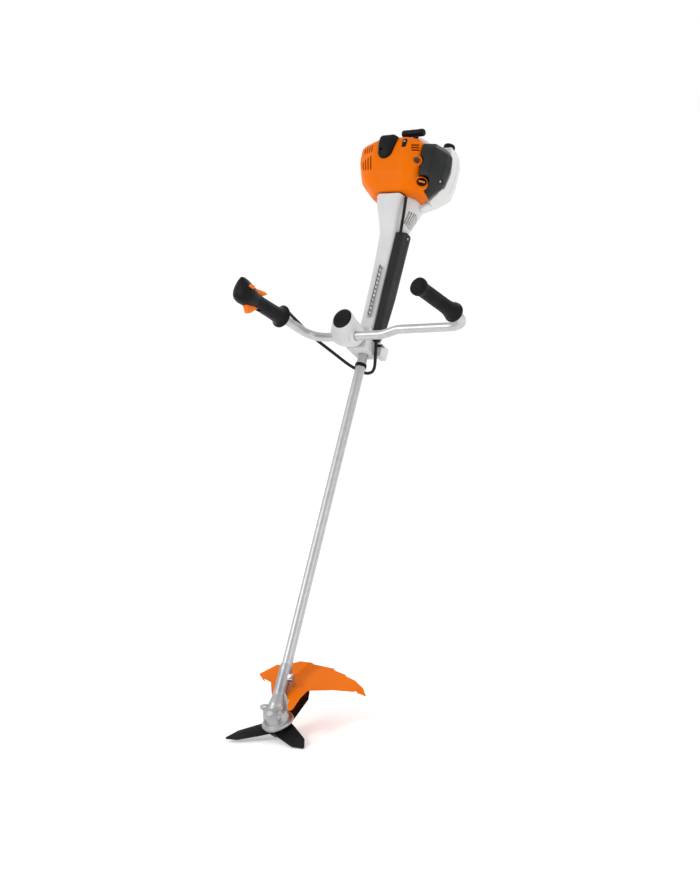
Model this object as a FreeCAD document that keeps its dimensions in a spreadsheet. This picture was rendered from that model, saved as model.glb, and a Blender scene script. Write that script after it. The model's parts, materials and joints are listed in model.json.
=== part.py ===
import FreeCAD, Part
import math
import os
import re

import Sketcher
from FreeCAD import Placement, Rotation, Vector

# A brush mower (clearing saw) with a bike handle, in millimetres.
#
# The pieces are laid out in the machine's own axes: X across the machine towards
# the operator's left, Y up the shaft from the cutter to the engine, and Z square to
# the shaft on the handlebar side, with the origin where the shaft line meets the
# output line of the bevel gears. ROW then leans the whole machine to its working
# slope and puts the origin in the harness hole that it hangs from.

doc = FreeCAD.newDocument("BrushMower")
sheet = doc.addObject("Spreadsheet::Sheet", "Dims")

# Single driving sizes, each with its own cell.
SIZES = {
    "lean": 52.0,
    "output_angle": 32.0,
    "blade_phase": 205.8,
    "tube_radius": 14.0,
    "tube_wall": 2.0,
    "tube_from": 50.0,
    "tube_to": 1468.0,
    "shaft_radius": 4.0,
    "shaft_from": 46.0,
    "shaft_to": 1502.0,
    "running_gap": 0.05,
    "blade_thick": 3.0,
    "blade_level": -39.5,
    "blade_arms": 3.0,
    "blade_bore": 10.0,
    "gear_module": 2.0,
    "pinion_teeth": 14.0,
    "driven_teeth": 19.0,
    "face_share": 0.34,
    "tooth_share": 0.36,
    "bar_radius": 12.5,
    "bar_wall": 2.0,
    "cable_radius": 4.5,
    "hole_radius": 4.5,
    "hole_pitch": 13.5,
    "hole_count": 11.0,
    "hole_first": 1176.5,
    "rail_side": 13.5,
    "rail_level": 42.0,
    "guard_skin": 3.5,
    "shell_skin": 3.0,
    "swivel_at": 1105.0,
    "bar_at": 1067.0,
    "bar_level": 105.0,
    "crank_radius": 6.0,
    "rope_radius": 1.75,
    "rope_side": 45.0,
    "rope_at": 1732.0,
    "rope_from": 14.2,
    "rope_free": 49.7,
    "screw_way": 3.1,
    "plug_way": 4.1,
    "knife_hub": 34.0,
    "screw_side": 11.0,
    "screw_back": 88.0,
    "shoe_circle": 26.0,
    "crank_throw": 14.0,
}

# Where turned and bored pieces start, up the shaft line.
STATIONS = {
    "pinion_bearings": (26, 35),
    "bushes": (240, 480, 720, 960, 1200, 1430),
    "clip_tube_way": 1000,
    "clip": 1024.5,
    "clamp_way": 1050,
    "clutch_housing": 1436,
    "clutch_room": 1435.5,
    "clutch_drum": 1466.5,
    "clutch_bearing": 1471,
    "shoe_slots": 1500,
    "crankshaft": 1507,
    "clutch_shoes": 1508,
    "crank_way": 1550,
    "main_bearings": (1562.2, 1644.2),
    "crank_webs": (1586, 1616),
    "crank_pin": 1590,
    "flywheel": 1662,
    "starter_room": 1708,
    "starter_housing": 1708.5,
    "starter_pulley": 1727,
}

# Where pieces start on the output line, upwards from the shaft line.
LEVELS = {
    "output_shaft": -60.5,
    "rider_cup": -59.95,
    "nut_bore": -53,
    "collar_nut": -52.2,
    "thrust_plate": -39.4,
    "head_chamber": -30.5,
    "head": -30,
    "output_bearings": (-29.6, -21.2),
    "guard_screw_head": 14.5,
    "guard_screw": 17,
    "guard": 18.6,
    "bracket_way": 20,
}

# The room for the clutch cone inside the carrier: radius at each end, length and station.
CONE_ROOM = [(24.6, 38, 8, 1434), (38, 46, 26, 1442), (46, 60.5, 44, 1468), (60.5, 76, 44, 1512)]

# Turned pieces: (radius, height) round the outline, from the lower end.
OUTLINES = {
    "thrust_plate": [(6.05, 0), (9.8, 0), (9.8, 2.9), (27, 2.9), (29, 5.2), (29, 8), (12, 8.6), (6.05, 8.6)],
    "rider_cup": [(21, 0), (25, 0), (33, 14), (33, 18), (28, 20.4), (6.05, 20.4), (6.05, 17.4), (29, 17.4),
                  (29.5, 14), (22, 2.5), (21, 2.5)],
    "head_outer": [(0, 0), (34, 0), (42, 2), (44, 6), (41.5, 10), (34, 13), (32, 34), (27, 46), (16, 52),
                   (0, 54)],
    "head_chamber": [(0, 0), (14, 0), (14, 17.5), (22.5, 17.5), (22.5, 33), (12, 38), (0, 38)],
    "neck_outer": [(0, 0), (24, 0), (23, 24), (17.4, 50), (17, 130), (16.5, 138), (0, 138)],
    "saddle_room": [(0, 0), (24.4, 0), (23.4, 24.4), (18, 50), (17.8, 140), (0, 140)],
    "neck_bore": [(0, 0), (17, 0), (17, 19), (13, 19), (13, 37.5), (14.05, 37.5), (14.05, 132), (0, 132)],
    "clutch_outer": [(0, 0), (24, 0), (36, 6), (44, 30), (58, 74), (70, 110), (0, 110)],
    "clutch_inner": [(0, 0), (14.05, 0), (14.05, 33), (13, 33), (13, 43), (39, 43), (54, 75), (65, 111),
                     (0, 111)],
    "clutch_drum": [(4.05, 0), (8.7, 0), (8.7, 33), (38.5, 33), (38.5, 62), (36, 62), (36, 36), (4.05, 36)],
    "flywheel": [(6.05, 0), (14, 0), (14, 4), (46, 4), (54, 10), (54, 20), (16, 20), (14, 24), (6.05, 24)],
    "starter_pulley": [(6.4, 0), (48, 0), (48, 2.5), (43, 5), (48, 7.5), (48, 10), (6.4, 10)],
    "starter_outer": [(0, 0), (55, 0), (55, 34), (50, 44), (34, 50), (0, 52)],
    "starter_inner": [(0, 0), (52, 0), (52, 33), (47, 41), (32, 47), (0, 49)],
    "dome_outer": [(0, 0), (26, 0), (34, 12), (41, 34), (42.5, 50), (41, 66), (36, 78), (30, 84), (0, 84)],
    "knob": [(0, 0), (5, 0), (5, 30), (27.5, 30), (28, 33), (26, 37), (10, 40), (0, 40)],
    "left_grip": [(12.6, 0), (22, 0), (27.5, 4), (28, 10), (21, 22), (19, 80), (18.5, 148), (23, 158),
                  (24.5, 165), (20, 172), (0, 175), (0, 170), (12.6, 170)],
    "control_body": [(12.6, 0), (23, 0), (25, 6), (24, 14), (20.5, 22), (21, 100), (22, 132), (29, 148),
                     (31, 166), (27, 186), (14, 195), (0, 197), (0, 150), (12.6, 150)],
    "cylinder_fins": [(21.2, 0), (30, 0), (30, 6), (36, 6), (36, 56), (28, 60), (0, 60), (0, 50), (21.2, 50)],
    "piston": [(0, 22), (14, 22), (14, 0), (21, 0), (21, 26), (0, 28)],
    "primer_bulb": [(0, 0), (8, 0), (8, 15), (6.5, 19), (0, 20.5)],
    "fuel_cap": [(0, 0), (17, 0), (17.5, 3), (17.5, 14), (15, 17), (0, 18)],
    "choke_knob": [(0, 0), (6, 0), (6, 14), (13, 14), (13, 19), (11, 20.5), (0, 20.5)],
    "spark_plug": [(0, 0), (5, 0), (5, 14), (9, 14), (9, 20), (7, 20), (5, 38), (0, 38)],
    "stop_button": [(0, 0), (5, 0), (5, 8), (3.5, 10.5), (0, 11)],
    "pull_grip": [(0, 0), (8, 0), (10.5, 5), (11, 18), (11, 54), (10.5, 67), (8, 72), (0, 72)],
}

# Straight-sided pieces: low and high limit across, along the shaft and in height.
BLOCKS = {
    "clamp_ear": (10, 31, 93, 111, -7.5, 7.5),
    "bracket_foot": (-17, 17, 56, 104, 22.4, 40),
    "clamp_lower": (-31, 31, 1062, 1128, -27, 46),
    "clamp_side": (31.4, 50, 1064, 1101, -44, -8),
    "rail_plate": (12, 15, 1166, 1326, 33.2, 50),
    "rail_foot": (2, 15, 1166, 1326, 33.2, 35.4),
    "crankcase": (-46, 46, 1562, 1652, -48, 37.5),
    "crank_room": (-33, 33, 1570, 1644, -36, 30),
    "cylinder_seat": (-23, 23, 1582, 1630, 20, 40),
    "muffler": (-98, -48, 1572, 1650, -48, 22),
    "muffler_room": (-95, -51, 1575, 1647, -45, 19),
    "carburettor": (48, 82, 1600, 1650, 12, 52),
    "air_filter": (104, 132, 1624, 1676, -6, 46),
    "plug_lid": (-36, 12, 1644, 1709, 101, 122),
    "guard_slot": (-20, 20, 20, 69, 0, 60),
    "trigger_slot": (-8, 8, -36, -14.6, 84, 149),
    "lockout_slot": (-7, 7, 14.6, 36, 90, 139),
}

# One arm of the knife: (out from the hub's centre, to the side), on its leading and trailing edges.
KNIFE_ARM = [(18, 28), (40, 25), (70, 21), (132, 17), (147, 11), (150, -3), (138, -15), (70, -22), (40, -26),
             (18, -27)]

# The two levers of the control grip, seen from their side: (away from the bar, along the grip),
# then the pivot's place and radius and half the lever's width.
LEVERS = {
    "trigger": ([(-20, 143), (-31, 142), (-47, 126), (-44, 118), (-20.5, 90)], (-28, 142), 4, 7),
    "lockout": ([(19, 131), (27, 133), (34, 104), (31, 97), (19.5, 108)], (26, 132), 3.5, 6),
}

# Outline of the guard's roof, seen along the output line (across, backwards).
GUARD_ROOF = [(-122, 138), (-88, 182), (-66, 181), (-22, 200), (17, 197), (27, 190), (90, 177), (98, 177),
              (103, 169), (139, 155), (147, 153), (152, 146), (192, 128), (232, 98), (209, 84), (140, 86),
              (68, 79), (62, 47), (65, 0), (59, -8), (52, -6), (38, 20), (26, 70), (-26, 70), (-26, 46),
              (-38, 62), (-66, 107), (-100, 122)]

# Its raised middle panel, the ribs under it (left, right, front, back), and what is trimmed from
# the skirt: in front of the roof, and below a line that climbs to each end (across, height).
GUARD_PANEL = [(-24, 196), (14, 193), (3, 138), (-30, 136)]
GUARD_RIBS = [(40, 43, 96, 170), (-46, -43, 96, 166)]
GUARD_FRONT = [(-140, 134), (-66, 120), (-30, 122), (60, 120), (120, 112), (226, 86), (262, 60), (262, -20),
               (-140, -20)]
GUARD_ENDS = [[(40, -53), (40, -52), (246, -22), (262, -22), (262, -53)],
              [(-60, -53), (-60, -52), (-125, -26), (-140, -26), (-140, -53)]]

# Moulded shells: sections (across, height) at stations along the shaft.
TOP_SHELL = {
    1130: [(-18, -20), (24, -20), (30, -8), (30, 22), (22, 30), (-12, 30), (-20, 22), (-22, -8)],
    1315: [(-16, -34), (22, -34), (30, -22), (30, 24), (22, 32), (-12, 33), (-20, 26), (-22, -20)],
    1453: [(-20, -36), (24, -36), (30, -24), (30, 29), (24, 38), (-16, 41), (-24, 32), (-25, -20)],
    1494: [(-24, -38), (26, -38), (34, -24), (38, 42), (32, 55), (-18, 60), (-28, 48), (-28, -20)],
    1541: [(-38, -44), (38, -44), (46, -26), (50, 60), (46, 77), (-23, 82), (-38, 68), (-42, -20)],
}
HIP_PAD = {
    1103: [(31.8, -4), (39, -4), (43, 2), (44, 16), (38, 26), (31.8, 27)],
    1136: [(31.8, -22), (39, -22), (44, -12), (45, 14), (38, 27), (31.8, 28)],
    1250: [(30.4, -30), (40, -30), (45, -18), (46, 16), (38, 30), (30.4, 30)],
    1452: [(30.4, -30), (41, -30), (46, -18), (47, 18), (39, 32), (30.4, 32)],
}
SHROUD = {
    1547: [(-54, 25), (-58, 48), (-44, 76), (-24, 88), (46, 88), (84, 78), (110, 56), (106, 25)],
    1592: [(-103, 25), (-103, 62), (-78, 94), (-42, 110), (58, 112), (84, 94), (112, 62), (112, 25)],
    1645: [(-120, 25), (-124, 62), (-106, 92), (-52, 117), (63, 116), (90, 91), (93, 72), (92, 25)],
    1694: [(-120, 25), (-123, 68), (-112, 90), (-52, 116), (52, 114), (84, 92), (88, 70), (88, 25)],
    1708: [(-96, 25), (-100, 64), (-88, 86), (-44, 106), (40, 104), (70, 88), (78, 64), (78, 25)],
}
FILTER_COVER = {
    1549: [(118, 6), (119, 5), (123, 16), (123, 38), (121, 48), (118, 50)],
    1580: [(117.5, -12), (134, -14), (150, 14), (149, 40), (133, 70), (117.5, 72)],
    1597: [(117, -14), (136, -14), (152, 16), (150, 42), (132, 76), (117, 79)],
    1645: [(96, -14), (135, -13), (153, 18), (150, 42), (131, 84), (96, 89)],
    1680: [(92, -12), (133, -11), (151, 20), (148, 42), (129, 82), (92, 89)],
    1695: [(90, -4), (120, -2), (141, 24), (139, 42), (124, 74), (90, 80)],
}

# The shroud's front wall beside the neck (across, height).
SHROUD_APRON = [(52, 70), (52, -9), (58, -9), (106, 22), (109, 54), (82, 74)]

# The tank's plan (across, along the shaft) and its share of that plan at each height.
TANK_PLAN = [(-26, 1562), (35, 1562), (77, 1575), (116, 1597), (124, 1640), (124, 1708), (114, 1744),
             (86, 1772), (-76, 1772), (-104, 1742), (-112, 1700), (-108, 1604), (-80, 1574)]
TANK_LEVELS = {-106: 0.74, -82: 0.95, -56: 1.0}

# Centre lines, as corner points; the bends are rounded at each inner corner.
BAR_ROUTE = [(-141, 1047, 385), (-113, 1072, 105), (-60, 1067, 105), (122, 1067, 105), (166, 1081, 105),
             (400, 1081, 105), (370, 1072, 325)]
BAR_BENDS = (38, 120, 60, 60, 58)
UPPER_CABLE = [(-114, 1080, 235), (-121, 1083, 194), (-127, 1087, 153), (-133, 1088, 112), (-126, 1083, 76),
               (-103, 1070, 53)]
MIDDLE_CABLE = [(-103, 1070, 53), (-80, 1057, 30), (-61, 1046, 8), (-44, 1037, -14), (-24, 1031, -31)]
LOWER_CABLE = [(-24, 1031, -31), (-10, 1026.8, -42.9), (12, 1029, -44), (30, 1037, -33), (42, 1050, -14),
               (46, 1065, 2), (44, 1084, 10), (39, 1102.8, 12)]
ENGINE_CABLE = [(49, 1436, 33), (54, 1458, 40), (60, 1482, 46), (66, 1508, 52), (70, 1534, 54)]


def put_in_sheet():
    """Give every size its own named cell."""
    cells = dict(SIZES)
    for name, points in OUTLINES.items():
        for number, (radius, height) in enumerate(points):
            cells["%s_radius%d" % (name, number)] = radius
            cells["%s_height%d" % (name, number)] = height
    for name, limits in BLOCKS.items():
        for word, value in zip(("left", "right", "front", "back", "low", "high"), limits):
            cells["%s_%s" % (name, word)] = value
    for number, (out, side) in enumerate(KNIFE_ARM):
        cells["knife_arm_out%d" % number] = out
        cells["knife_arm_side%d" % number] = side
    for row, (alias, value) in enumerate(cells.items(), start=1):
        sheet.set("A%d" % row, alias)
        sheet.set("B%d" % row, str(value))
        sheet.setAlias("B%d" % row, alias)
    doc.recompute()


def size(alias):
    """The number in a named cell."""
    return float(sheet.get(alias))


def bind(thing, prop, text):
    """Bind a property to an expression of sheet cells."""
    thing.setExpression(prop, re.sub(r"([a-z][a-z_0-9]*)", r"Dims.\1", text))


put_in_sheet()

LEAN = Rotation(Vector(1, 0, 0), size("lean"))
HARNESS = Vector(size("rail_side"), size("hole_first") + 5 * size("hole_pitch"), size("rail_level"))
ROW = Placement(Vector(), LEAN).multiply(Placement(HARNESS.negative(), Rotation()))
ACROSS = Vector(1, 0, 0)
ALONG = Vector(0, 1, 0)
PLUG_SEAT = (-36, 14, 8)
PLUG_HEAD = (-42, 14, 8)
EAR_SCREW = (24.5, 102)
CYLINDER = (-4, 1606)
DOME = (0, 1092, 47.4)
CAP = (66, 1772.4, -76)
PRIMER = Vector(80, 1633, 88)
PRIMER_WAY = Vector(0.52, 0, 0.85)
CHOKE = Vector(98.2, 1570, 64.6)
CHOKE_WAY = Vector(0.6, 0, 0.8)
NODES = {}


def along_shaft(station, across=0.0, height=0.0):
    """A frame whose Z runs up the shaft."""
    return Placement(Vector(across, station, height), Rotation(ACROSS, -90))


def along_output(level, phase=0.0):
    """A frame on the output line, whose Z runs up it and whose Y points backwards."""
    turn = Rotation(ACROSS, -size("output_angle"))
    middle = turn.multVec(Vector(0, 0, level))
    return Placement(middle, turn.multiply(Rotation(Vector(0, 0, 1), phase)))


def upright(across, station, height):
    """A frame with Z square to the shaft, on the handlebar side."""
    return Placement(Vector(across, station, height), Rotation())


def facing(middle, direction):
    """A frame at a point whose Z runs along a direction."""
    return Placement(Vector(*middle), Rotation(Vector(0, 0, 1), Vector(*direction)))


def rod(name, radius, length, place):
    """A round bar whose radius and length are expressions of sheet cells."""
    bar = doc.addObject("Part::Cylinder", name)
    bind(bar, "Radius", radius)
    bind(bar, "Height", length)
    bar.Placement = place
    return bar


def ring(name, outer, inner, length, place):
    """A round bush: a bar with a bore right through it."""
    return cut(name, rod(name + "_body", outer, length, place), rod(name + "_bore", inner, length, place))


def block(name, place=Placement()):
    """A straight-sided block between its six limits."""
    slab = doc.addObject("Part::Box", name)
    bind(slab, "Length", "%s_right - %s_left" % (name, name))
    bind(slab, "Width", "%s_back - %s_front" % (name, name))
    bind(slab, "Height", "%s_high - %s_low" % (name, name))
    corner = Vector(size(name + "_left"), size(name + "_front"), size(name + "_low"))
    slab.Placement = place.multiply(Placement(corner, Rotation()))
    return slab


def cut(name, base, *tools):
    """A piece less each tool in turn."""
    for number, tool in enumerate(tools):
        piece = doc.addObject("Part::Cut", name + "_cut%d" % number)
        piece.Base = base
        piece.Tool = tool
        base = piece
    return base


def join(name, *pieces):
    """One piece made of several that touch or overlap."""
    whole = doc.addObject("Part::MultiFuse", name + "_joined")
    whole.Shapes = list(pieces)
    return whole


def group(name, *pieces):
    """Several equal loose pieces kept in one node."""
    whole = doc.addObject("Part::Compound", name + "_group")
    whole.Links = list(pieces)
    return whole


def coded(name, shape):
    """A piece whose shape is worked out from the sheet's numbers."""
    piece = doc.addObject("Part::Feature", name + "_shape")
    piece.Shape = shape
    return piece


def origin_plane(body, role):
    """One of a body's own origin planes."""
    return [plane for plane in body.Origin.OriginFeatures if plane.Role == role][0]


def draw(sketch, points, names):
    """A closed outline whose corners are held by named sheet cells."""
    corners = [Vector(x, y, 0) for x, y in points]
    for start, end in zip(corners, corners[1:] + corners[:1]):
        sketch.addGeometry(Part.LineSegment(start, end), False)
    count = len(corners)
    for index in range(count):
        sketch.addConstraint(Sketcher.Constraint("Coincident", index, 2, (index + 1) % count, 1))
    for index, (corner, (across, up)) in enumerate(zip(points, names)):
        for kind, value, alias, axis in (("DistanceX", corner[0], across, -2), ("DistanceY", corner[1], up, -1)):
            if value == 0:
                sketch.addConstraint(Sketcher.Constraint("PointOnObject", index, 1, axis))
                continue
            number = sketch.addConstraint(Sketcher.Constraint(kind, -1, 1, index, 1, value))
            sketch.renameConstraint(number, "%s%d" % (kind, index))
            sketch.setExpression("Constraints.%s%d" % (kind, index), "Dims." + alias)


def lathe(name, place):
    """A body turned about its Z axis from the outline of the same name."""
    body = doc.addObject("PartDesign::Body", name + "_body")
    sketch = body.newObject("Sketcher::SketchObject", name + "_outline")
    sketch.AttachmentSupport = [(origin_plane(body, "XZ_Plane"), "")]
    sketch.MapMode = "FlatFace"
    count = range(len(OUTLINES[name]))
    names = [("%s_radius%d" % (name, number), "%s_height%d" % (name, number)) for number in count]
    draw(sketch, [(size(radius), size(height)) for radius, height in names], names)
    turned = body.newObject("PartDesign::Revolution", name + "_turned")
    turned.Profile = sketch
    turned.ReferenceAxis = (sketch, ["V_Axis"])
    turned.Angle = 360
    body.Placement = place
    return body


def node(name, piece):
    """Name a finished piece and lean it into the part's frame."""
    piece.Label = name
    piece.Placement = ROW.multiply(piece.Placement)
    NODES[name] = piece


def flat_face(corners):
    """A flat face inside straight edges."""
    return Part.Face(Part.makePolygon(corners + corners[:1]))


def section_wire(station, points):
    """A closed section square to the shaft."""
    return Part.makePolygon([Vector(x, station, z) for x, z in points + points[:1]])


def drawn_in(value, low, high, skin, open_low):
    """One coordinate moved in from its limits by the skin, or only from the high one."""
    if open_low:
        return low + (value - low) * (1 - skin / (high - low))
    return low + skin + (value - low) * (1 - 2 * skin / (high - low))


def inset(points, skin, opening):
    """The same section drawn in by the skin, except on the side that stays open."""
    across = [x for x, z in points]
    height = [z for x, z in points]
    return [(drawn_in(x, min(across), max(across), skin, opening == "side"),
             drawn_in(z, min(height), max(height), skin, opening == "below")) for x, z in points]


def lofted(sections, skin=0.0, opening=""):
    """A solid through its sections; with a skin, the room inside it."""
    wires = []
    stations = list(sections)
    for station in stations:
        points = sections[station]
        if skin:
            points = inset(points, skin, opening)
            if station == stations[-1]:
                station -= skin
            if station == stations[0]:
                station += skin
        wires.append(section_wire(station, points))
    return Part.makeLoft(wires, True, True)


def rounded_path(points, bends):
    """Straight runs joined by tangent arcs, and the radii used."""
    corners = [Vector(*point) for point in points]
    edges = []
    start = corners[0]
    for index, bend in enumerate(bends, start=1):
        before = (corners[index] - corners[index - 1]).normalize()
        after = (corners[index + 1] - corners[index]).normalize()
        half_turn = before.getAngle(after) / 2
        reach = bend * math.tan(half_turn)
        first = corners[index] - before * reach
        last = corners[index] + after * reach
        inward = (after - before).normalize()
        crest = corners[index] + inward * (bend / math.cos(half_turn) - bend)
        edges.append(Part.LineSegment(start, first).toShape())
        edges.append(Part.Arc(first, crest, last).toShape())
        start = last
    edges.append(Part.LineSegment(start, corners[-1]).toShape())
    return Part.Wire(edges)


def widest_bends(points):
    """The largest radius that the two runs beside each inner corner allow."""
    corners = [Vector(*point) for point in points]
    bends = []
    for before, corner, after in zip(corners, corners[1:], corners[2:]):
        run = min((corner - before).Length, (after - corner).Length)
        half_turn = (corner - before).getAngle(after - corner) / 2
        bends.append(0.45 * run / math.tan(half_turn))
    return bends


def tube_along(path, radius):
    """A round solid swept along a path."""
    first = path.OrderedEdges[0]
    start = first.valueAt(first.FirstParameter)
    direction = first.tangentAt(first.FirstParameter)
    circle = Part.Wire(Part.makeCircle(radius, start, direction))
    return path.makePipeShell([circle], True, False)


def cord(name, points):
    """A cable along its route, with its radii and volume told."""
    bends = widest_bends(points)
    path = rounded_path(points, bends)
    shape = tube_along(path, size("cable_radius"))
    section = math.pi * size("cable_radius") ** 2
    print(name, "radii", [round(bend) for bend in bends], "length", round(path.Length, 1))
    print(name, "volume share", round(shape.Volume / (section * path.Length), 4))
    node(name, coded(name, shape))


# ---- cutter -------------------------------------------------------------------
def brush_knife():
    """The three-armed knife: a bored hub and one arm, repeated about the hub."""
    body = doc.addObject("PartDesign::Body", "brush_knife_body")
    plane = origin_plane(body, "XY_Plane")
    hub = body.newObject("Sketcher::SketchObject", "knife_hub")
    hub.AttachmentSupport = [(plane, "")]
    hub.MapMode = "FlatFace"
    for index, alias in enumerate(("knife_hub", "blade_bore")):
        hub.addGeometry(Part.Circle(Vector(), Vector(0, 0, 1), size(alias)), False)
        hub.addConstraint(Sketcher.Constraint("Coincident", index, 3, -1, 1))
        number = hub.addConstraint(Sketcher.Constraint("Radius", index, size(alias)))
        hub.renameConstraint(number, alias)
        hub.setExpression("Constraints." + alias, "Dims." + alias)
    disc = body.newObject("PartDesign::Pad", "knife_disc")
    disc.Profile = hub
    bind(disc, "Length", "blade_thick")
    doc.recompute()
    arm = body.newObject("Sketcher::SketchObject", "knife_arm")
    arm.AttachmentSupport = [(plane, "")]
    arm.MapMode = "FlatFace"
    names = [("knife_arm_out%d" % number, "knife_arm_side%d" % number) for number in range(len(KNIFE_ARM))]
    draw(arm, [(size(out), size(side)) for out, side in names], names)
    limb = body.newObject("PartDesign::Pad", "knife_limb")
    limb.Profile = arm
    bind(limb, "Length", "blade_thick")
    doc.recompute()
    arms = body.newObject("PartDesign::PolarPattern", "knife_arms")
    arms.Originals = [limb]
    arms.Axis = (hub, ["N_Axis"])
    arms.Angle = 360
    bind(arms, "Occurrences", "blade_arms")
    body.Tip = arms
    body.Placement = along_output(size("blade_level"), size("blade_phase"))
    doc.recompute()
    print("knife volume", round(body.Shape.Volume))
    node("brush_knife", body)


def bevel_gear(teeth, pitch_angle, cone_length, hub_back, bore, phase):
    """A straight bevel gear: root cone, hub, and teeth that taper to the common apex."""
    module = size("gear_module")
    face = cone_length * size("face_share")
    share = (cone_length - face) / cone_length
    dedendum = 0.95 * module
    addendum = 0.72 * module
    sine = math.sin(pitch_angle)
    cosine = math.cos(pitch_angle)

    def on_cone(distance, lift):
        return Vector(distance * sine + lift * cosine, 0, distance * cosine - lift * sine)

    root_far = on_cone(cone_length, -dedendum)
    root_near = on_cone(cone_length * share, -dedendum * share)
    profile = [Vector(bore, 0, root_near.z), root_near, root_far,
               Vector(root_far.x, 0, hub_back), Vector(bore, 0, hub_back)]
    blank = Part.Face(Part.makePolygon(profile + profile[:1])).revolve(Vector(), Vector(0, 0, 1), 360)
    step = 2 * math.pi / teeth
    half_root = 0.5 * size("tooth_share") * step * 1.45
    half_tip = 0.5 * size("tooth_share") * step * 0.62
    solids = [blank]
    for index in range(int(teeth)):
        angle = phase + index * step
        wires = []
        for distance, scale in ((cone_length, 1.0), (cone_length * share, share)):
            corners = []
            for lift, half in ((-dedendum * 1.15, -half_root), (addendum, -half_tip), (addendum, half_tip),
                               (-dedendum * 1.15, half_root)):
                point = on_cone(distance, lift * scale)
                turn = Rotation(Vector(0, 0, 1), math.degrees(angle + half))
                corners.append(turn.multVec(point))
            wires.append(Part.makePolygon(corners + corners[:1]))
        solids.append(Part.makeLoft(wires, True, True))
    gear = solids[0].fuse(solids[1:]).removeSplitter()
    return gear


def gears():
    """The pinion on the drive shaft and the wheel on the output shaft."""
    pinion_count = size("pinion_teeth")
    driven_count = size("driven_teeth")
    shaft_angle = math.radians(90 + size("output_angle"))
    driven_radius = size("gear_module") * driven_count / 2
    ratio = driven_count / pinion_count
    pinion_pitch = math.atan2(math.sin(shaft_angle), ratio + math.cos(shaft_angle))
    driven_pitch = shaft_angle - pinion_pitch
    cone_length = driven_radius / math.sin(driven_pitch)
    # The pinion opens up the shaft, the wheel opens down the output line. They meet on
    # the operator's side, where a pinion tooth stands in a gap of the wheel.
    pinion = bevel_gear(pinion_count, pinion_pitch, cone_length, 24.0, 4.05, math.pi / 2)
    stem = Part.makeCylinder(5.9, 38, Vector(0, 0, 22), Vector(0, 0, 1))
    socket = Part.makeCylinder(size("shaft_radius") + size("running_gap"), 15, Vector(0, 0, 46), Vector(0, 0, 1))
    core = Part.makeCylinder(4.06, 13.6, Vector(0, 0, 10.4), Vector(0, 0, 1))
    solid_pinion = pinion.fuse([core, stem]).cut(socket).removeSplitter()
    pinion_piece = coded("pinion_gear", solid_pinion)
    pinion_piece.Placement = along_shaft(0)
    node("pinion_gear", pinion_piece)
    # A turned-over frame keeps the wheel's Z down the output line.
    driven = bevel_gear(driven_count, driven_pitch, cone_length, 12.0, 6.05,
                        -math.pi / 2 + math.pi / driven_count)
    driven_piece = coded("driven_bevel_gear", driven)
    turned_over = Placement(Vector(), Rotation(ACROSS, 180))
    driven_piece.Placement = along_output(0).multiply(turned_over)
    node("driven_bevel_gear", driven_piece)


def gearhead():
    """The cast housing on the tube's lower end, with its small parts; returns its clamp screw."""
    dome = lathe("head_outer", along_output(LEVELS["head"]))
    outer = join("head", dome, lathe("neck_outer", along_shaft(0)), block("clamp_ear"))
    chamber = lathe("head_chamber", along_output(LEVELS["head_chamber"]))
    bore = lathe("neck_bore", along_shaft(6.5))
    screw_way = rod("ear_hole", "screw_way", "tube_radius * 2", upright(*EAR_SCREW, -14))
    plug_way = rod("plug_hole", "plug_way", "tube_radius", facing(PLUG_SEAT, ACROSS))
    node("gear_housing", cut("gear_housing", outer, chamber, bore, screw_way, plug_way))
    foot = along_output(LEVELS["output_shaft"])
    node("output_shaft", rod("output_shaft", "crank_radius", "tube_from + 9", foot))
    bearings = [ring("output_bearing%d" % number, "tube_radius - 0.02", "crank_radius + 0.1",
                     "tube_wall * 4", along_output(level))
                for number, level in enumerate(LEVELS["output_bearings"])]
    races = [ring("pinion_bearing%d" % number, "tube_radius - 1.02", "crank_radius",
                  "tube_wall * 4", along_shaft(station))
             for number, station in enumerate(STATIONS["pinion_bearings"])]
    node("gearhead_bearings", group("gearhead_bearings", *(bearings + races)))
    node("thrust_plate", lathe("thrust_plate", along_output(LEVELS["thrust_plate"])))
    node("rider_cup", lathe("rider_cup", along_output(LEVELS["rider_cup"])))
    nut = doc.addObject("Part::Prism", "nut_body")
    nut.Polygon = 6
    bind(nut, "Circumradius", "crank_radius + 4.5")
    bind(nut, "Height", "crank_radius + 3")
    nut.Placement = along_output(LEVELS["collar_nut"])
    nut_bore = rod("nut_bore", "crank_radius + running_gap", "crank_radius * 2",
                   along_output(LEVELS["nut_bore"]))
    node("collar_nut", cut("collar_nut", nut, nut_bore))
    plug_stem = rod("plug_stem", "shaft_radius", "crank_radius * 2", facing(PLUG_HEAD, ACROSS))
    plug_top = rod("plug_top", "shaft_radius * 1.7", "crank_radius", facing(PLUG_HEAD, ACROSS))
    node("grease_plug", join("grease_plug", plug_stem, plug_top))
    head = rod("ear_head", "crank_radius - 0.6", "shaft_radius", upright(*EAR_SCREW, 7.6))
    shank = rod("ear_shank", "crank_radius * 0.5", "tube_from * 0.4", upright(*EAR_SCREW, -10))
    return join("ear_screw", head, shank)


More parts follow.
